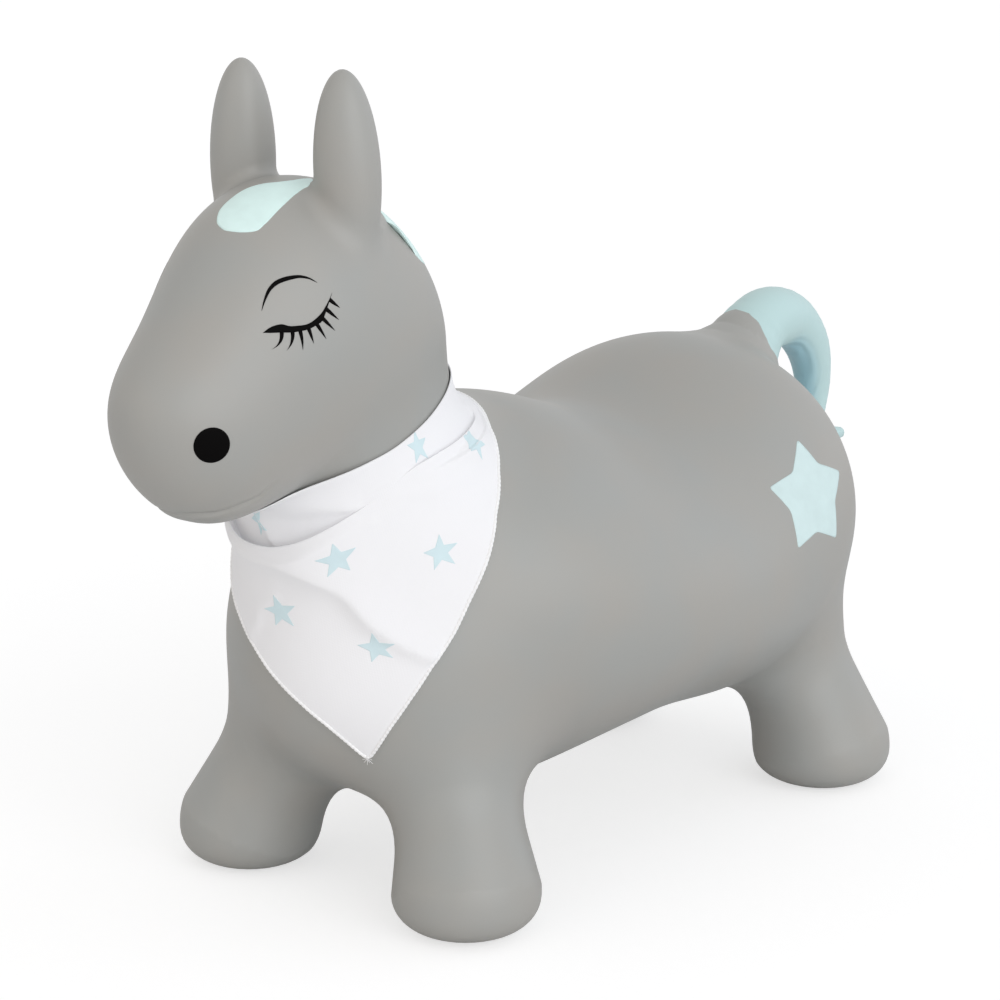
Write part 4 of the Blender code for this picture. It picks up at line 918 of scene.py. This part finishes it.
def lashGrids(eye):
    # The lid between its two edges, and each lash as a curved blade: its middle line is a parabola
    # from root to tip, and its width falls to nothing at the tip.
    low, high = [resampled(smoothLine(eye[key], 8), 81) for key in ("lidLow", "lidTop")]
    grids = [(between(low, high, 7), False)]
    roots = np.array(eye["roots"])
    tips = np.array(eye["tips"])
    along = unit(np.gradient(roots, axis=0))
    share = np.linspace(0, 1, 17)[:, None]
    for root, tip, way, bend in zip(roots, tips, along, eye["curl"]):
        start = root - unit(tip - root) * eye["lashSunk"]
        run = unit(tip - start)
        line = start + (tip - start) * share + 2 * share * (1 - share) * bend * np.array((-run[1], run[0]))
        half = eye["lashHalfWidth"] * (1 - share ** eye["lashPoint"])
        grids.append((between(line - way * half, line + way * half, 3), False))
    return grids


print("printed marks")
for key in ("forelock", "mane"):
    outline = resampled(smoothLine(marks[key]["edge"], 8, closed=True), 200)
    printFilm(key + "Paint", [(radialGrid(outline, 26), True)], marks[key], 1, mintSpray,
              key + "_print")
for sideName, side in (("left", 1), ("right", -1)):
    printFilm(sideName + "HipStarPaint", [(radialGrid(roundedStar(marks["star"]), 26), True)],
              marks["star"], side, starSpray, "hip_star_" + sideName)
    eye = marks["eye"]
    printFilm(sideName + "BrowInk", [(browGrid(eye), False)], eye, side, blackInk, "brow_" + sideName)
    printFilm(sideName + "LashInk", lashGrids(eye), eye, side, blackInk, "eyelashes_" + sideName)
    angle = np.linspace(0, math.tau, 96, endpoint=False)
    disc = marks["nostril"]["radius"] * np.stack([np.cos(angle), np.sin(angle)], axis=-1)
    printFilm(sideName + "NostrilInk", [(radialGrid(disc, 14), True)], marks["nostril"], side, blackInk,
              "nostril_" + sideName)


# The bandana.

# Turns are degrees round the neck ring's leaning axis, from the throat towards the animal's left.
# The tables give a height along that axis in millimetres at each turn. The four turns of a bell are
# where it starts, is full, stops being full and ends. The cut is in metres.
bandana = {
    "cut": (0.45, 0.19),
    "top": ((-180, 14), (-127, 15), (-106, 14), (-79, 11), (-50, 7), (-33, 4), (-8, -3), (3, 2),
            (13, 8), (20, 10), (33, 11), (50, 11.5), (65, 12), (79, 14), (94, 15.5), (106, 17),
            (127, 18), (180, 14)),
    "lip": ((-180, -9), (-140, -9), (-100, -10), (-70, -13), (-50, -18.5), (-38, -22.5), (-25, -27),
            (-16, -29.5), (-3, -29.5), (8.7, -27.5), (18.3, -23.5), (29, -18), (40.9, -12.4), (48, -10),
            (60, -5.5), (72.7, -1.2), (90.2, -3.3), (109.6, -7), (131.3, -10.7), (150, -10), (180, -9)),
    "hem": ((-180, -20), (-130, -20), (-102, -22), (-85, -30), (-72, -40), (-60, -52), (-45, -66),
            (-36.6, -73), (-21.4, -81), (-13.2, -87.5), (-5.8, -95.8), (2.1, -105.9), (8.9, -116),
            (15.8, -128.9), (20.5, -141), (24.3, -151.5), (26, -155), (27.7, -151.5), (35.6, -134.2),
            (43.5, -119.9), (53.3, -104.2), (63.2, -92.2), (72, -79.5), (84.3, -64.1), (96.8, -47.2),
            (112.3, -33.1), (123.8, -25.7), (132.5, -21.5), (154, -20), (180, -20)),
    "cloth": 0.0006,
    "columnCount": 281,
    "drapeCount": 98,
    "stepCount": 6,
    "millimetresPerDegree": 1.62,
    "rayReach": 0.19,
    "cowlTurns": (-66, -14, 14, 54), "cowlDrop": 0.0085, "cowlRise": 0.0068,
    "pleatTurns": (62, 84, 122, 142), "pleatDrop": 0.0034, "pleatRise": 0.0027,
    "gatherTurns": (-40, 5, 35, 60), "gather": 0.0016,
    "looseTurns": (70, 100, 135, 155), "loose": 0.0014,
    "rise": 0.0020, "rest": 0.0019, "hemCloser": 0.0006, "settleRun": 0.020,
}


def ringPlace(turn, height):
    # The point on the ring's axis at a height, and the outward direction at a turn.
    lean = math.radians(skinCut["neckTilt"])
    front = np.array((0, -math.cos(lean), -math.sin(lean)))
    left = np.array((1.0, 0, 0))
    start = np.array(skinCut["neckPlace"]) + height[..., None] * neckUp
    way = np.cos(np.radians(turn))[..., None] * front + np.sin(np.radians(turn))[..., None] * left
    return start, way


def roundedTable(table, key, softness):
    # A table of key and value read at many keys, then averaged over a window to lose its corners.
    table = np.array(table, float)
    window = np.linspace(-softness, softness, 9)
    return np.mean([np.interp(key + shift, table[:, 0], table[:, 1]) for shift in window], axis=0)


def lipHeight(turn):
    return roundedTable(bandana["lip"], turn, 6) / 1000


def hemHeight(turn):
    return roundedTable(bandana["hem"], turn, 1.2) / 1000


def bell(turn, low, lowFull, highFull, high):
    # Rises from 0 at low to 1 at lowFull, and falls from 1 at highFull to 0 at high.
    return ease((turn - low) / (lowFull - low)) * ease((high - turn) / (high - highFull))


# Creases: a line of turn and height in mm, the lift in mm, how far it falls off in mm to the left of
# the line as it runs and to its right, at its start and at its end, and how pointed its crest is.
drapeCreases = (
    {"line": ((-4, -28), (7.5, -34.5), (21, -45), (30, -55), (36.8, -72.5), (44.5, -87.5), (54, -102)),
     "lift": (3.8, 7.0, 7.2, 3.8), "above": (30, 9), "below": (15, 3.8), "crest": 1.2},
    {"line": ((-13.2, -90), (-8.5, -76.7), (-6.2, -67.6), (1.1, -57.6)), "lift": (1.6, 1.8, 1.2),
     "above": (9, 9), "below": (2.2, 4), "crest": 1.5},
    {"line": ((44, -51), (66, -45.4), (90, -42)), "lift": (0.4, 1.9, 1.4), "above": (9, 9),
     "below": (12, 12), "crest": 1.7},
    {"line": ((85, -13.2), (102.3, -10.9), (117.6, -11.1), (131.3, -11.3)), "lift": (0.2, 1.9, 1.9, 0.1),
     "above": (0.9, 0.9), "below": (12, 9), "crest": 1.6},
    {"line": ((60, -12), (78, -19), (100, -22)), "lift": (0.3, 1.1, 0.5), "above": (5, 5),
     "below": (8, 8), "crest": 1.6},
    {"line": ((30, -26), (48, -20.5), (66, -17)), "lift": (0.2, 1.0, 0.3), "above": (4, 4),
     "below": (7, 7), "crest": 1.6},
)
bandCreases = (
    {"line": ((8, -7.4), (26.2, -8.8), (37.4, -11), (46, -11.5)), "lift": (0.6, 2.2, 2.2, 0.4),
     "above": (9, 7), "below": (2.4, 2.0), "crest": 1.5},
    {"line": ((-7.5, -11), (-5.3, -15.4), (-3.1, -20.0), (-1.0, -27)), "lift": (0.6, 2.6, 3.2, 2.4),
     "above": (9, 12), "below": (1.6, 1.8), "crest": 1.4},
    {"line": ((-30, -14), (-20, -12), (-10, -8)), "lift": (1.4, 1.4, 0.6), "above": (5, 5),
     "below": (6, 6), "crest": 1.6},
)


def creaseLift(creases, turn, height):
    # Each crease is the higher the nearer a point is to its line: a bell with its own width on
    # either side of the line, whose height changes along it.
    lift = np.zeros(turn.shape)
    scale = np.array((bandana["millimetresPerDegree"], 1))
    place = np.stack([turn, height * 1000], axis=-1) * scale
    for crease in creases:
        line = smoothLine(np.array(crease["line"]) * scale, 4)
        best, offset, run, share = nearestOnLine(place, line)
        leftOfLine = run[..., 0] * offset[..., 1] - run[..., 1] * offset[..., 0] > 0
        widths = [crease[key][0] + (crease[key][1] - crease[key][0]) * share for key in ("above", "below")]
        width = np.where(leftOfLine, widths[0], widths[1])
        crest = np.interp(share, np.linspace(0, 1, len(crease["lift"])), crease["lift"])
        lift += crest * np.exp(-(best / width) ** crease["crest"])
    return lift / 1000


def bandanaGrid():
    # Rows run from the shirred edge under the jaw down the neck, round the bottom of the cowl, up
    # and over its lip, and down the chest to the hem. Columns run once round the neck. Where there
    # is no cowl the same rows step over the edge of the pleats at the side.
    turns = np.linspace(-179.2, 179.2, bandana["columnCount"])
    top = roundedTable(bandana["top"], turns, 6) / 1000
    lip = lipHeight(turns)
    hem = np.minimum(hemHeight(turns), lip - 0.006)
    cowl = bell(turns, *bandana["cowlTurns"])
    pleat = bell(turns, *bandana["pleatTurns"])
    low = lip - bandana["cowlDrop"] * cowl - bandana["pleatDrop"] * pleat
    side = (1 - cowl) * (1 - pleat)
    rise = bandana["rise"] + bandana["cowlRise"] * cowl + bandana["pleatRise"] * pleat
    gather = bandana["gather"] * bell(turns, *bandana["gatherTurns"])
    # The band's profile, row by row: the height, and how far the cloth stands off the skin.
    knots = np.array([
        (top, 0.0012 + gather),
        (top * 0.6 + lip * 0.4, 0.0011 + gather / 2),
        (lip + 0.004 * side, 0.0012 + 0.0004 * cowl),
        (low + 0.0016, 0.0016 + 0.0008 * cowl - 0.0003 * pleat),
        (low, 0.0020 + 0.0018 * cowl),
        (low * 0.6 + lip * 0.4 - 0.0010 * side, 0.0020 + 0.0046 * cowl + 0.0013 * pleat),
        (lip - 0.0014 * side, rise),
        (lip - 0.0018 * side + 0.0010 * cowl, rise + 0.0014 * cowl + 0.0001),
        (lip - 0.0030, rise + 0.0026 * cowl + 0.0001),
        (lip - 0.0062, rise + 0.0020 * cowl),
    ])
    band = smoothLine(knots, bandana["stepCount"])
    share = np.linspace(0, 1, bandana["drapeCount"] + 1)[1:, None]
    start = band[-1]
    height = start[0] + share * (hem - start[0])
    slack = bandana["loose"] * bell(turns, *bandana["looseTurns"]) * (1 - share)
    loose = bandana["rest"] - bandana["hemCloser"] * share + slack
    off = loose + (start[1] - bandana["rest"]) * np.exp(-(start[0] - height) / bandana["settleRun"])
    profile = np.concatenate([band, np.stack([height, off], axis=1)])
    height = profile[:, 0]
    turn = np.broadcast_to(turns, height.shape)
    starts, ways = ringPlace(turn, height)
    reach = strike(starts, ways, trunkField, 0, bandana["rayReach"])
    rowNumber = np.arange(len(height))[:, None]
    onDrape = ease((rowNumber - len(band) + 12) / 14)
    hemFade = ease((height - hem) / 0.006 + 0.35)
    lift = creaseLift(drapeCreases, turn, height) * onDrape * hemFade
    inBand = ease(rowNumber / 5) * ease((4.4 * bandana["stepCount"] - rowNumber) / 8)
    lift += creaseLift(bandCreases, turn, height) * inBand
    points = starts + (reach + profile[:, 1] + lift)[..., None] * ways
    return turn, height, points, len(band)


def gridNormals(points):
    # The cross product of the steps along the rows and the columns.
    down = np.gradient(points, axis=0)
    along = np.gradient(points, axis=1)
    return unit(np.cross(down, along))


print("bandana")
clothTurn, clothHeight, clothPoints, bandRows = bandanaGrid()
clothNormals = gridNormals(clothPoints)
outward = ringPlace(clothTurn, clothHeight)[1]
if (clothNormals[-20] * outward[-20]).sum() < 0:
    clothNormals = -clothNormals
clothHalf = bandana["cloth"] / 2

clothMesh = newMesh("bandanaCloth", *slabArrays(clothPoints + clothNormals * clothHalf,
                                                clothPoints - clothNormals * clothHalf))
clothSheet = newPiece("bandanaCloth", cleaned(clothMesh, 1e-8), cotton)


# The cloth's own map: the way round the neck and the way down it, in metres.
alongSteps = np.linalg.norm(np.diff(clothPoints[bandRows + 20], axis=0), axis=-1)
alongCloth = np.concatenate([[0], np.cumsum(alongSteps)])
downSteps = np.linalg.norm(np.diff(clothPoints, axis=0), axis=-1)
downCloth = np.concatenate([np.zeros((1, clothPoints.shape[1])), np.cumsum(downSteps, axis=0)])
alongCloth = np.broadcast_to(alongCloth, downCloth.shape)
flatMap = np.stack([alongCloth, -downCloth], axis=-1).reshape(-1, 2)
flatMap = np.concatenate([flatMap, flatMap])
clothMesh = clothSheet.data
cornerPoint = np.zeros(len(clothMesh.loops), int)
clothMesh.loops.foreach_get("vertex_index", cornerPoint)
layer = clothMesh.uv_layers.new(name="cloth")
layer.data.foreach_set("uv", flatMap[cornerPoint].ravel())

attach(clothSheet, "animal")
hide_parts("bandana_front", "bandana_collar")

# Printed stars: the middle and the five tips, all as turn in degrees and height in mm. The last
# three are partly folded away: each is its middle, its spin in degrees, and the first and last row of
# the cloth that it is printed on, and it gets even tips. Radius is in mm, film and sunk in metres.
clothStars = {
    "radius": 10.5, "inset": 0.52, "film": 0.00012, "sunk": 0.00010,
    "whole": (
        ((30.6, -34.6), (30.1, -24.4), (38.2, -31.2), (34.3, -42.6), (25.9, -42.8), (22.6, -32)),
        ((68.7, -49.2), (71.6, -40.8), (77.0, -49.3), (72.9, -59.3), (64.6, -57.7), (62.8, -46.4)),
        ((2.7, -66.3), (1.3, -56.4), (9.9, -61.8), (8.7, -73.6), (0.5, -74.9), (-4.3, -66.3)),
        ((36.9, -88.0), (37.1, -77.6), (43.6, -86.0), (41.8, -95.2), (34.5, -95.4), (30.9, -84.8)),
    ),
    "part": ((110.0, -12.5, 20.0, 42, -1), (80.0, 5.5, -8.0, 0, 18), (-6.5, -17.0, 30.0, 0, 22)),
}


def clothAt(turn, height, firstRow, lastRow):
    # The cloth's outer face at a turn and height, bilinear between its grid points: how many of a
    # column's heights lie above the wanted one gives the row.
    column = (turn - clothTurn[0, 0]) / (clothTurn[0, 1] - clothTurn[0, 0])
    left = np.clip(column.astype(int), 0, clothTurn.shape[1] - 2)
    across = (column - left)[..., None]
    rows = np.arange(len(clothTurn))[firstRow:lastRow]
    found = []
    for k in (0, 1):
        heights = clothHeight[rows][:, left + k]
        row = np.clip((heights >= height).sum(axis=0) - 1, 0, len(rows) - 2)
        upper = np.take_along_axis(heights, row[None], axis=0)[0]
        lower = np.take_along_axis(heights, row[None] + 1, axis=0)[0]
        part = np.clip((upper - height) / np.maximum(upper - lower, 1e-6), 0, 1)[..., None]
        row = rows[row]
        pair = []
        for values in (clothPoints, clothNormals):
            pair.append(values[row, left + k] * (1 - part) + values[row + 1, left + k] * part)
        found.append(pair)
    point = found[0][0] + across * (found[1][0] - found[0][0])
    return point, unit(found[0][1] + across * (found[1][1] - found[0][1]))


def evenTips(turn, height, spin):
    # The middle and five tips of an even star.
    angle = np.radians(90 + spin - np.arange(5) * 72)
    ring = np.stack([np.cos(angle) / bandana["millimetresPerDegree"], np.sin(angle)], axis=-1)
    return np.vstack([(0, 0), ring * clothStars["radius"]]) + (turn, height)


def starOnCloth(star, firstRow, lastRow):
    # A five-pointed star as a thin film on the cloth: between two tips an inner corner lies at a
    # share of the way from the middle to the tips' mean.
    star = np.array(star)
    tips = star[1:]
    inner = star[0] + clothStars["inset"] * ((tips + np.roll(tips, -1, axis=0)) / 2 - star[0])
    edge = np.stack([tips, inner], axis=1).reshape(-1, 2)
    grid = radialGrid(resampled(np.vstack([edge, edge[:1]]), 121)[:-1], 12)
    point, normal = clothAt(grid[..., 0], grid[..., 1] / 1000, firstRow, lastRow)
    return slabArrays(point + normal * (clothHalf + clothStars["film"]),
                      point + normal * (clothHalf - clothStars["sunk"]), True)


starParts = [starOnCloth(star, bandRows, -1) for star in clothStars["whole"]]
starParts += [starOnCloth(evenTips(*star[:3]), *star[3:]) for star in clothStars["part"]]
starPrint = newPiece("bandanaStars", cleaned(newMesh("bandanaStars", *joined(starParts))), starInk)
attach(starPrint, "animal")

# The hem: a rolled, overlocked edge, whose radius swells once for each loop of thread, and a few
# loose thread ends at the tip.
hemEdge = {"radius": 0.00088, "swell": 0.00034, "loopPitch": 0.0028,
           "threadRadius": 0.00022, "threadLength": 0.0060, "threadSpread": (-38, -20, -6, 9, 25, 44)}
hemLine = resampled(clothPoints[-1], 1500)
length = np.linspace(0, np.linalg.norm(np.diff(hemLine, axis=0), axis=1).sum(), len(hemLine))
radius = hemEdge["radius"] + hemEdge["swell"] * np.abs(np.sin(math.pi * length / hemEdge["loopPitch"]))
hemParts = [tubeArrays(hemLine, radius, 8)]
tipColumn = int(np.argmin(clothHeight[-1]))
tipPlace = clothPoints[-1, tipColumn]
tipOut = clothNormals[-3, tipColumn]
tipDown = unit(tipPlace - clothPoints[-8, tipColumn])
tipAcross = np.cross(tipDown, tipOut)
for number, spread in enumerate(hemEdge["threadSpread"]):
    share = np.linspace(0, 1, 9)[:, None]
    turn = math.radians(spread) * (0.6 + 0.8 * share)
    way = np.cos(turn) * tipDown + np.sin(turn) * tipAcross
    reach = hemEdge["threadLength"] * (0.6 + 0.4 * ((number * 3) % 5) / 4)
    threadLine = tipPlace + share * reach * way
    hemParts.append(tubeArrays(threadLine, np.linspace(1, 0.5, 9) * hemEdge["threadRadius"], 8))
hem = newPiece("bandanaHem", cleaned(newMesh("bandanaHem", *joined(hemParts))), hemThread)
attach(hem, "animal")

# The closure at the nape: a sewn tab over the band's two ends.
tabShape = {"halfTurn": 11.0, "off": 0.0030, "thickness": 0.0012}
tabTurns = 180 + np.linspace(-tabShape["halfTurn"], tabShape["halfTurn"], 31)
tabShare = np.linspace(0, 1, 25)
aroundNape = (tabTurns + 180) % 360 - 180
lowEdge = lipHeight(aroundNape) - 0.0030
highEdge = roundedTable(bandana["top"], aroundNape, 6) / 1000
tabHeight = highEdge[None] + tabShare[:, None] * (lowEdge - highEdge)[None]
tabTurn = np.broadcast_to(tabTurns, tabHeight.shape)
starts, ways = ringPlace(tabTurn, tabHeight)
reach = strike(starts, ways, trunkField, 0, bandana["rayReach"])
tabOuter = starts + (reach + tabShape["off"] + tabShape["thickness"])[..., None] * ways
tabParts = slabArrays(tabOuter, starts + (reach + tabShape["off"])[..., None] * ways)
tab = newPiece("napeTab", cleaned(newMesh("napeTab", *tabParts)), cotton)
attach(tab, "animal")
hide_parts("bandana_tab")

# The air valve under the belly: a flanged collar and the push-in plug that closes it, both turned
# about one upright line. Profiles are radius and height in mm from the underside.
valve = {
    "valve_seat": ((4.5, 0.3), (4.8, 0.0), (12.4, 0.0), (12.85, 0.15), (13.0, 0.6), (13.0, 1.4),
                   (12.85, 1.85), (12.4, 2.0), (7.4, 2.0), (7.05, 2.2), (7.0, 2.6), (7.0, 16.6),
                   (6.8, 17.0), (4.8, 17.0), (4.5, 16.7), (4.5, 0.3)),
    "valve_plug": ((0.0, 0.35), (3.0, 0.3), (4.2, 0.0), (8.0, 0.0), (9.1, 0.4), (9.5, 1.3), (9.5, 2.2),
                   (9.2, 2.5), (4.6, 2.5), (4.1, 2.7), (4.1, 12.5), (3.4, 15.6), (2.9, 16.3), (0.0, 16.5)),
    "sideCount": 72,
}


def valvePiece(name, node, body):
    # Each point of the profile is swept once round the upright line through the node's middle.
    low, high = np.array(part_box(node))
    profile = np.array(valve[node]) / 1000
    profile[:, 1] *= (high[2] - low[2]) / profile[:, 1].max()
    angle = np.linspace(0, math.tau, valve["sideCount"], endpoint=False)
    ring = np.stack([np.cos(angle), np.sin(angle), np.zeros(len(angle))], axis=-1)
    grid = profile[:, None, :1] * ring + profile[:, None, 1:] * np.array((0, 0, 1))
    grid += np.array(((low[0] + high[0]) / 2, (low[1] + high[1]) / 2, low[2]))
    mesh = newMesh(name, grid.reshape(-1, 3), gridFaces(len(grid), valve["sideCount"], wrap=True))
    piece = newPiece(name, cleaned(mesh), plugVinyl)
    piece.data.set_sharp_from_angle(angle=math.radians(35))
    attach(piece, body)
    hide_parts(node)
    return piece


print("valve")
valvePiece("valveCollar", "valve_seat", "animal")
valvePiece("valvePlug", "valve_plug", "plug")

# Floor, light and camera.
print("stage, light and camera")


floorTone = {"seen": "bcbcbc", "thrown": "f2f2f2", "lift": 0.64}


def paleFloor():
    # A matt floor that takes the shadow. The camera sees it as light grey that is lifted to white, and
    # the animal is lit by what a near-white floor throws back.
    material, tree, shader = newMaterial("mattPaintedFloorWhite", 0.9, 1.45)
    shader.inputs["Specular IOR Level"].default_value = 0.0
    path = addNode(tree, "ShaderNodeLightPath")
    mix = addNode(tree, "ShaderNodeMix",
                  {6: linearFromHex(floorTone["thrown"]), 7: linearFromHex(floorTone["seen"])},
                  {0: path.outputs["Is Camera Ray"]}, data_type="RGBA")
    tree.links.new(mix.outputs[2], shader.inputs["Base Color"])
    lift = addNode(tree, "ShaderNodeMath", {1: floorTone["lift"]}, {0: path.outputs["Is Camera Ray"]},
                   operation="MULTIPLY")
    shader.inputs["Emission Color"].default_value = (1, 1, 1, 1)
    tree.links.new(lift.outputs[0], shader.inputs["Emission Strength"])
    return material


corners = np.array(((-14, -14), (14, -14), (14, 14), (-14, 14)))
floorMesh = newMesh("floor", np.column_stack([corners, np.full(4, -0.0003)]), [(0, 1, 2, 3)])
floor = newPiece("floor", floorMesh, paleFloor())

world = bpy.data.worlds.new("softRoom")
scene.world = world
world.use_nodes = True
tree = world.node_tree
tree.nodes.clear()
light = {
    "room": 0.60, "roomColour": "ffffff",
    "key": 1.35, "keyWay": (72, 16), "keySoft": 60, "keyColour": "fbfcff",
    "back": 0.24, "backWay": (150, 25), "backSoft": 60, "backColour": "dfeaff",
    "front": 0.26, "frontWay": (-10, 10), "frontSoft": 60, "frontColour": "ffe2c4",
}
path = addNode(tree, "ShaderNodeLightPath")
sight = addNode(tree, "ShaderNodeMath", None,
                {0: path.outputs["Is Camera Ray"], 1: path.outputs["Is Glossy Ray"]}, operation="MAXIMUM")
sight = addNode(tree, "ShaderNodeMath", None,
                {0: sight.outputs[0], 1: path.outputs["Is Transmission Ray"]}, operation="MAXIMUM")
strength = addNode(tree, "ShaderNodeMapRange", {"To Min": light["room"], "To Max": 1.0},
                   {"Value": sight.outputs[0]})
sky = addNode(tree, "ShaderNodeBackground", {"Color": linearFromHex(light["roomColour"])},
              {"Strength": strength.outputs["Result"]})
addNode(tree, "ShaderNodeOutputWorld", None, {"Surface": sky.outputs[0]})


def fromAngles(azimuth, elevation):
    # Where a lamp or the camera stands, seen from the object, for its angles in degrees.
    a = math.radians(azimuth)
    e = math.radians(elevation)
    return Vector((math.sin(a) * math.cos(e), -math.cos(a) * math.cos(e), math.sin(e)))


def addSun(name):
    data = bpy.data.lights.new(name + "Light", "SUN")
    data.energy = light[name]
    data.angle = math.radians(light[name + "Soft"])
    data.color = linearFromHex(light[name + "Colour"])[:3]
    lamp = bpy.data.objects.new(name + "Light", data)
    scene.collection.objects.link(lamp)
    back = fromAngles(*light[name + "Way"])
    lamp.location = back * 2
    lamp.rotation_euler = (-back).to_track_quat("-Z", "Y").to_euler()


for name in ("key", "back", "front"):
    addSun(name)

view = {"azimuth": 40.38, "elevation": 15.17, "distance": 1.9341, "target": (0.0012, -0.0316, 0.2123),
        "lens": 115.28}
cameraData = bpy.data.cameras.new("camera")
cameraData.lens = view["lens"]
cameraData.sensor_width = 36
camera = bpy.data.objects.new("camera", cameraData)
scene.collection.objects.link(camera)
back = fromAngles(view["azimuth"], view["elevation"])
camera.location = Vector(view["target"]) + back * view["distance"]
camera.rotation_euler = (-back).to_track_quat("-Z", "Y").to_euler()
cameraData.clip_end = 60
scene.camera = camera
scene.view_settings.view_transform = "Standard"
